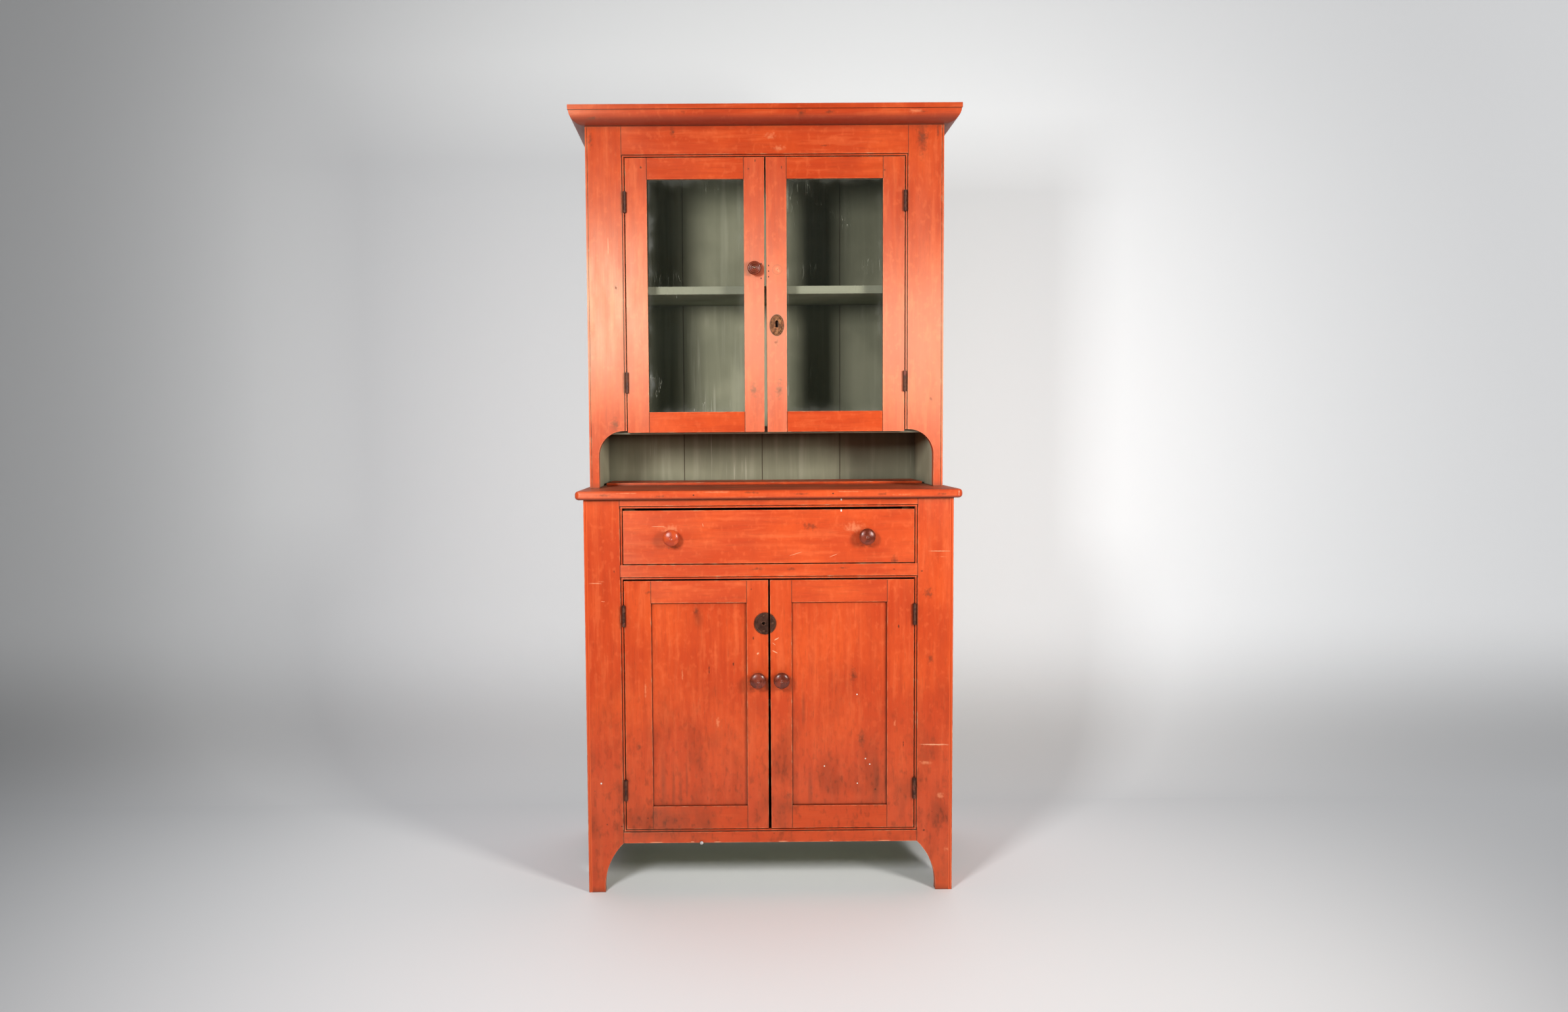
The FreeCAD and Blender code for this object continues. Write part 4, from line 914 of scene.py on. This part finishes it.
def slotted_screw(centre, radius, height, angle, sides=20):
    """Screw head that faces the front, made of two halves with the slot between them."""
    parts = []
    slot_half = radius * SLOT_SHARE
    half_sides = sides // 2
    for flip in (0, 1):
        start = SLOT_SHARE + pi * flip
        turns = [start + (pi - 2 * SLOT_SHARE) * index / half_sides for index in range(half_sides + 1)]
        rim = [(radius * cos(turn), radius * sin(turn)) for turn in turns]
        crown = [(CROWN_SHARE * x, CROWN_SHARE * y) for x, y in rim]
        top = [(x, max(abs(y), slot_half) * (1 if y > 0 else -1)) for x, y in crown]
        points = []
        for ring, forward in ((rim, 0.0), (rim, height * SHOULDER_SHARE), (top, height)):
            for x, y in ring:
                spun = Vector((x * cos(angle) - y * sin(angle), 0, x * sin(angle) + y * cos(angle)))
                points.append(centre + spun + Vector((0, -forward, 0)))
        count = len(rim)
        faces = tube_faces(3, count, False)
        faces.append(tuple(range(2 * count, 3 * count)))
        parts.append((points, faces))
    floor = lathe([(radius * 0.98, 0.0), (radius * 0.96, height * 0.25)], centre, sides)
    return gather(parts + [floor])


# Profiles in millimetres: radius, and distance from the face that carries the piece

MM = 0.001
DOMED_KNOB = (
    (12.0, 0.0), (12.5, 0.8), (12.4, 1.8), (11.4, 2.6), (10.0, 3.6), (9.0, 5.4), (8.6, 8.0), (8.7, 10.8),
    (9.4, 13.2), (10.8, 15.2), (13.4, 16.8), (17.0, 18.2), (19.8, 19.6), (21.4, 21.4), (22.0, 23.4),
    (21.8, 25.2), (21.2, 26.5), (20.6, 26.9), (20.0, 27.5), (18.6, 28.7), (16.2, 29.9), (13.0, 31.0),
    (9.4, 31.9), (6.0, 32.5), (3.4, 32.8), (3.0, 32.2), (2.4, 32.1), (2.0, 32.7), (0.8, 32.9),
)
RINGED_KNOB = (
    (12.0, 0.0), (12.5, 0.8), (12.4, 1.8), (11.2, 2.8), (9.6, 4.0), (8.6, 6.0), (8.6, 9.0), (9.4, 12.0),
    (11.6, 14.2), (15.2, 15.6), (17.8, 17.0), (18.9, 19.0), (19.0, 21.0), (18.7, 23.0), (17.8, 24.8),
    (16.6, 25.8), (15.6, 25.9), (15.0, 25.2), (14.4, 25.2), (14.0, 26.0), (13.0, 27.4), (11.6, 28.2),
    (10.6, 28.2), (10.0, 27.4), (9.4, 27.4), (9.0, 28.4), (8.0, 29.6), (6.8, 30.2), (5.6, 30.2),
    (5.0, 29.4), (4.6, 28.8), (0.8, 28.8),
)
SCREW_DOME = ((3.0, 0.0), (3.0, 0.5), (2.6, 1.2), (1.8, 1.8), (0.8, 2.1))
WAX_DROP = ((4.2, 0.0), (4.4, 1.0), (3.8, 2.2), (2.4, 3.0), (0.8, 3.4))


def in_metres(profile):
    return [(radius * MM, forward * MM) for radius, forward in profile]


def knob_centre(low, high):
    """Middle of a knob's foot, on the face that carries it."""
    return Vector(((low.x + high.x) / 2, high.y, (low.z + high.z) / 2))


def add_knob(name, profile, body, node, centres):
    parts = [lathe(in_metres(profile), centre) for centre in centres]
    piece = add_piece(name, *gather(parts), body, "turned_knob", small_finishes["turned_knob"])
    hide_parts(node)


upper_knob = knob_centre(*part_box("upper_left_door_knob"))
add_knob("ringed_knob", RINGED_KNOB, "upper_left_door", "upper_left_door_knob", [upper_knob])
for side in ("left", "right"):
    node_name = f"lower_{side}_door_knob"
    centre = knob_centre(*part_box(node_name))
    add_knob(f"domed_knob_{side}", DOMED_KNOB, f"lower_{side}_door", node_name, [centre])
drawer_low, drawer_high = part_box("drawer_knobs")
knob_radius = (drawer_high.z - drawer_low.z) / 2
drawer_centres = [
    Vector((x, drawer_high.y, (drawer_low.z + drawer_high.z) / 2))
    for x in (drawer_low.x + knob_radius, drawer_high.x - knob_radius)
]
add_knob("drawer_pulls", DOMED_KNOB, "drawer", "drawer_knobs", drawer_centres)

screw_seat = Vector((0, RINGED_KNOB[-1][1] * MM, 0))
dome = lathe(in_metres(SCREW_DOME), upper_knob - screw_seat)
add_piece("knob_screw", *dome, "upper_left_door", "hinge_iron", screw_finish)

ROPE_SWELL, ROPE_LOBES, ROPE_THICKNESS = 0.28, 40, 1.9 * MM
ROPE_ACROSS, ROPE_UP = 0.86, 0.91


def rope_ring(centre, half_width, half_height, thickness, lobes, steps=220, sides=10):
    """Twisted border that runs round an oval plate."""
    points = []
    for step in range(steps):
        turn = 2 * pi * step / steps
        spine = Vector((half_width * cos(turn), 0, half_height * sin(turn)))
        outward = Vector((half_height * cos(turn), 0, half_width * sin(turn))).normalized()
        for index in range(sides):
            around = 2 * pi * index / sides
            swell = thickness * (1 + ROPE_SWELL * cos(2 * around + lobes * turn))
            forward = Vector((0, -swell * sin(around), 0))
            points.append(centre + spine + outward * swell * cos(around) + forward)
    return points, tube_faces(steps, sides, True)


plate_low, plate_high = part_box("upper_lock_escutcheon")
plate_half = (plate_high - plate_low) / 2
plate_face = Vector(((plate_low.x + plate_high.x) / 2, plate_low.y, (plate_low.z + plate_high.z) / 2))
rope = rope_ring(plate_face, plate_half.x * ROPE_ACROSS, plate_half.z * ROPE_UP, ROPE_THICKNESS, ROPE_LOBES)
add_piece("escutcheon_border", *rope, "upper_right_door", "stamped_brass", small_finishes["stamped_brass"])

RIM_HEIGHT = 0.7


def arc_rim(centre, radius, thickness, limit, side, steps=72, sides=8):
    """Raised bead round the part of a disc that lies on one side of an upright line."""
    points = []
    kept = [2 * pi * step / steps for step in range(steps + 1)]
    kept = [turn for turn in kept if side * (centre.x + radius * cos(turn) - limit) > thickness]
    kept.sort(key=lambda turn: turn if side < 0 else (turn + pi) % (2 * pi))
    for turn in kept:
        outward = Vector((cos(turn), 0, sin(turn)))
        for index in range(sides):
            around = 2 * pi * index / sides
            reach = radius + thickness * cos(around)
            points.append(centre + outward * reach + Vector((0, -thickness * RIM_HEIGHT * sin(around), 0)))
    faces = tube_faces(len(kept), sides, False)
    faces.append(tuple(range(sides)))
    faces.append(tuple(reversed(range((len(kept) - 1) * sides, len(kept) * sides))))
    return points, faces


KEYHOLE_OFFSET = 0.015
RIM_SHARES = (0.97, 0.86)
RIM_THICKNESS = 1.1 * MM
HOLE_RIM_RADIUS = 5.6 * MM
HOLE_RIM_THICKNESS = 0.8 * MM
LOCK_SCREW = (3.4 * MM, 0.9 * MM)
lock_low, lock_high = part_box("lower_lock_plate")
keeper_low, keeper_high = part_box("lower_lock_keeper")
disc_radius = (keeper_high.x - lock_low.x) / 2
disc_face = Vector(((keeper_high.x + lock_low.x) / 2, lock_low.y, (lock_low.z + lock_high.z) / 2))
hole_face = Vector((-KEYHOLE_OFFSET, lock_low.y, disc_face.z))
for side, limit, body, screws in (
    (-1, lock_high.x, "lower_left_door", ((-0.004, 0.021), (-0.004, -0.021))),
    (1, keeper_low.x, "lower_right_door", ((0.02, 0.0),)),
):
    parts = [arc_rim(disc_face, disc_radius * share, RIM_THICKNESS, limit, side) for share in RIM_SHARES]
    if side < 0:
        parts.append(rope_ring(hole_face, HOLE_RIM_RADIUS, HOLE_RIM_RADIUS, HOLE_RIM_THICKNESS, 0))
    label = "plate" if side < 0 else "keeper"
    add_piece(f"lock_{label}_rims", *gather(parts), body, "worn_plate", small_finishes["worn_plate"])
    heads = [slotted_screw(disc_face + Vector((x, 0, z)), *LOCK_SCREW, 0.7 + z * 40) for x, z in screws]
    add_piece(f"lock_{label}_screws", *gather(heads), body, "worn_plate", small_finishes["worn_plate"])

WAX_X = -0.187
rail_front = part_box("lower_bottom_rail")[0]
wax_centre = Vector((WAX_X, rail_front.y, rail_front.z - 0.5 * MM))
wax = lathe(in_metres(WAX_DROP), wax_centre, 24)
wax_finish = plain_material("wax_finish", wax_fill, 0.0002)
add_piece("wax_drop", *wax, "case", "glazing_putty", wax_finish)

# Floor and backdrop

PAPER = srgb(238, 240, 241)
# Painted shade: the paper darkens towards these colours far from the object, more on the left
PAPER_FAR_LEFT = srgb(146, 148, 150)
PAPER_FAR_RIGHT = srgb(180, 182, 184)
# Painted light: a glow seen only by the camera, brighter to the right
GLOW_COLOR = srgb(240, 241, 242)
FADE_START, FADE_END = 0.9, 3.4
WALL_GLOW_LEFT, WALL_GLOW_RIGHT = 0.14, 0.38
FAR_GLOW_LEFT, FAR_GLOW_RIGHT = 0.08, 0.26


def stage_material(name, wall):
    """Pale paper with painted shade that darkens it away from the object, and a painted glow, brighter to
    the right, that only the camera sees; the wall shows from the front alone.
    """
    paper, tree, shader = new_material(name)
    place = tree.node("TexCoord").outputs["Object"]
    reach = tree.vector("LENGTH", tree.stretch(place, (1.0, 1.0, 0.0)), output=1)
    fade = tree.ramp(reach, FADE_START, FADE_END)
    shader.inputs["Roughness"].default_value = 0.9
    shader.inputs["Specular IOR Level"].default_value = 0.1
    shader.inputs["Emission Color"].default_value = GLOW_COLOR
    rays = tree.node("LightPath").outputs
    spot = tree.split(place)
    # Painted shade: paler near the object, darker far away
    away = tree.mix(tree.ramp(spot[0], -1.8, 0.4), PAPER_FAR_LEFT, PAPER_FAR_RIGHT)
    tree.feed(shader.inputs["Base Color"], tree.mix(fade, PAPER, away))
    # Painted light: a glow far from the object and up the wall, seen by the camera alone
    far = tree.ramp(spot[0], -2.6, 0.6, FAR_GLOW_LEFT, FAR_GLOW_RIGHT)
    glow = tree.times(fade, far)
    if wall:
        seen = tree.math("MAXIMUM", rays["Is Camera Ray"], rays["Is Transmission Ray"])
        seen = tree.math("MAXIMUM", seen, rays["Is Glossy Ray"])
        front = tree.math("SUBTRACT", 1.0, tree.node("NewGeometry").outputs["Backfacing"])
        joined = tree.node("MixShader", {0: tree.times(seen, front)})
        high = tree.ramp(spot[0], -2.6, 1.8, WALL_GLOW_LEFT, WALL_GLOW_RIGHT)
        glow = tree.plus(glow, tree.times(high, tree.ramp(spot[2], 0.0, 0.6)))
        tree.feed(joined.inputs[1], tree.node("BsdfTransparent").outputs[0])
        tree.feed(joined.inputs[2], shader.outputs[0])
        tree.feed(paper.node_tree.nodes["Material Output"].inputs[0], joined.outputs[0])
    tree.feed(shader.inputs["Emission Strength"], tree.times(glow, rays["Is Camera Ray"]))
    return paper


def stage_sheet(name, profile, half_width, wall):
    """Sheet that follows a line of y and z."""
    points = [(x, y, z) for y, z in profile for x in (-half_width, half_width)]
    faces = [(2 * i, 2 * i + 1, 2 * i + 3, 2 * i + 2) for i in range(len(profile) - 1)]
    mesh = bpy.data.meshes.new(name)
    mesh.from_pydata(points, [], faces)
    mesh.shade_smooth()
    mesh.materials.append(stage_material(name + "_paper", wall))
    sheet = bpy.data.objects.new(name, mesh)
    bpy.context.scene.collection.objects.link(sheet)


COVE_START, COVE_RADIUS, COVE_STEPS, COVE_LIFT = 0.5, 0.4, 16, 0.001
WALL_TOP, STAGE_HALF = 4.5, 16.0
cove = []
for step in range(COVE_STEPS + 1):
    angle = pi / 2 * step / COVE_STEPS
    cove.append((COVE_START + COVE_RADIUS * sin(angle), COVE_LIFT + COVE_RADIUS * (1 - cos(angle))))
stage_sheet("studio_floor", [(-STAGE_HALF, 0.0), (STAGE_HALF, 0.0)], STAGE_HALF, False)
stage_sheet("studio_wall", cove + [(COVE_START + COVE_RADIUS, WALL_TOP)], STAGE_HALF, True)

# Light

LAMP_WIDTH, LAMP_HEIGHT, LAMP_SPREAD = 0.5, 0.7, 2.2
LAMP_AIM = (0.0, 0.0, 1.1)


def softbox(name, place, power, color):
    """Lamp that faces the middle of the object."""
    lamp = bpy.data.lights.new(name, "AREA")
    lamp.shape = "RECTANGLE"
    lamp.size = LAMP_WIDTH
    lamp.size_y = LAMP_HEIGHT
    lamp.energy = power
    lamp.spread = LAMP_SPREAD
    lamp.color = color
    holder = bpy.data.objects.new(name, lamp)
    bpy.context.scene.collection.objects.link(holder)
    holder.visible_camera = False
    holder.location = place
    holder.rotation_euler = (Vector(LAMP_AIM) - Vector(place)).to_track_quat("-Z", "Y").to_euler()


softbox("softbox_left", (-1.2, -2.4, 1.86), 27.3, (1.0, 1.0, 1.0))
softbox("softbox_right", (1.68, -2.0, 1.62), 24.6, (1.0, 0.97, 0.92))

SKY_COLOR = srgb(240, 241, 244)
SKY_DIM, SKY_BEHIND, SKY_SEEN = 0.06, 1.8, 0.72
world = bpy.data.worlds.new("studio")
world.use_nodes = True
sky = Tree(world.node_tree)
way = sky.split(sky.node("TexCoord").outputs["Generated"])
behind = sky.times(sky.ramp(way[1], -0.1, 0.6), sky.ramp(way[2], 0.5, 0.75))
sky_rays = sky.node("LightPath").outputs
behind = sky.times(behind, sky.blend(sky_rays["Is Glossy Ray"], 1.0, 0.2))
background = world.node_tree.nodes["Background"]
background.inputs["Color"].default_value = SKY_COLOR
lit = sky.blend(behind, SKY_DIM, SKY_BEHIND)
strength = sky.blend(sky_rays["Is Camera Ray"], lit, SKY_SEEN)
sky.feed(background.inputs["Strength"], strength)
bpy.context.scene.world = world

# Camera at the photograph's place

FOCAL_MM, SENSOR_MM = 25.2, 36.0
SHIFT_X, SHIFT_Y = 0.0339, 0.001
PITCH, YAW, ROLL = 0.0634, -0.0044, -0.0071
CAMERA_PLACE = (-0.1139, -3.1639, 1.2358)
camera_data = bpy.data.cameras.new("camera")
camera_data.lens = FOCAL_MM
camera_data.sensor_width = SENSOR_MM
camera_data.shift_x = SHIFT_X
camera_data.shift_y = SHIFT_Y
camera = bpy.data.objects.new("camera", camera_data)
bpy.context.scene.collection.objects.link(camera)
level = Matrix(((1, 0, 0), (0, 0, -1), (0, 1, 0)))
tilt = Matrix.Rotation(ROLL, 3, "Z") @ Matrix.Rotation(PITCH, 3, "X") @ Matrix.Rotation(YAW, 3, "Y")
sight = tilt @ level
sight = Matrix((sight[0], -sight[1], -sight[2])).transposed()
camera.matrix_world = Matrix.Translation(CAMERA_PLACE) @ sight.to_4x4()
bpy.context.scene.camera = camera
bpy.context.scene.view_settings.view_transform = "Standard"
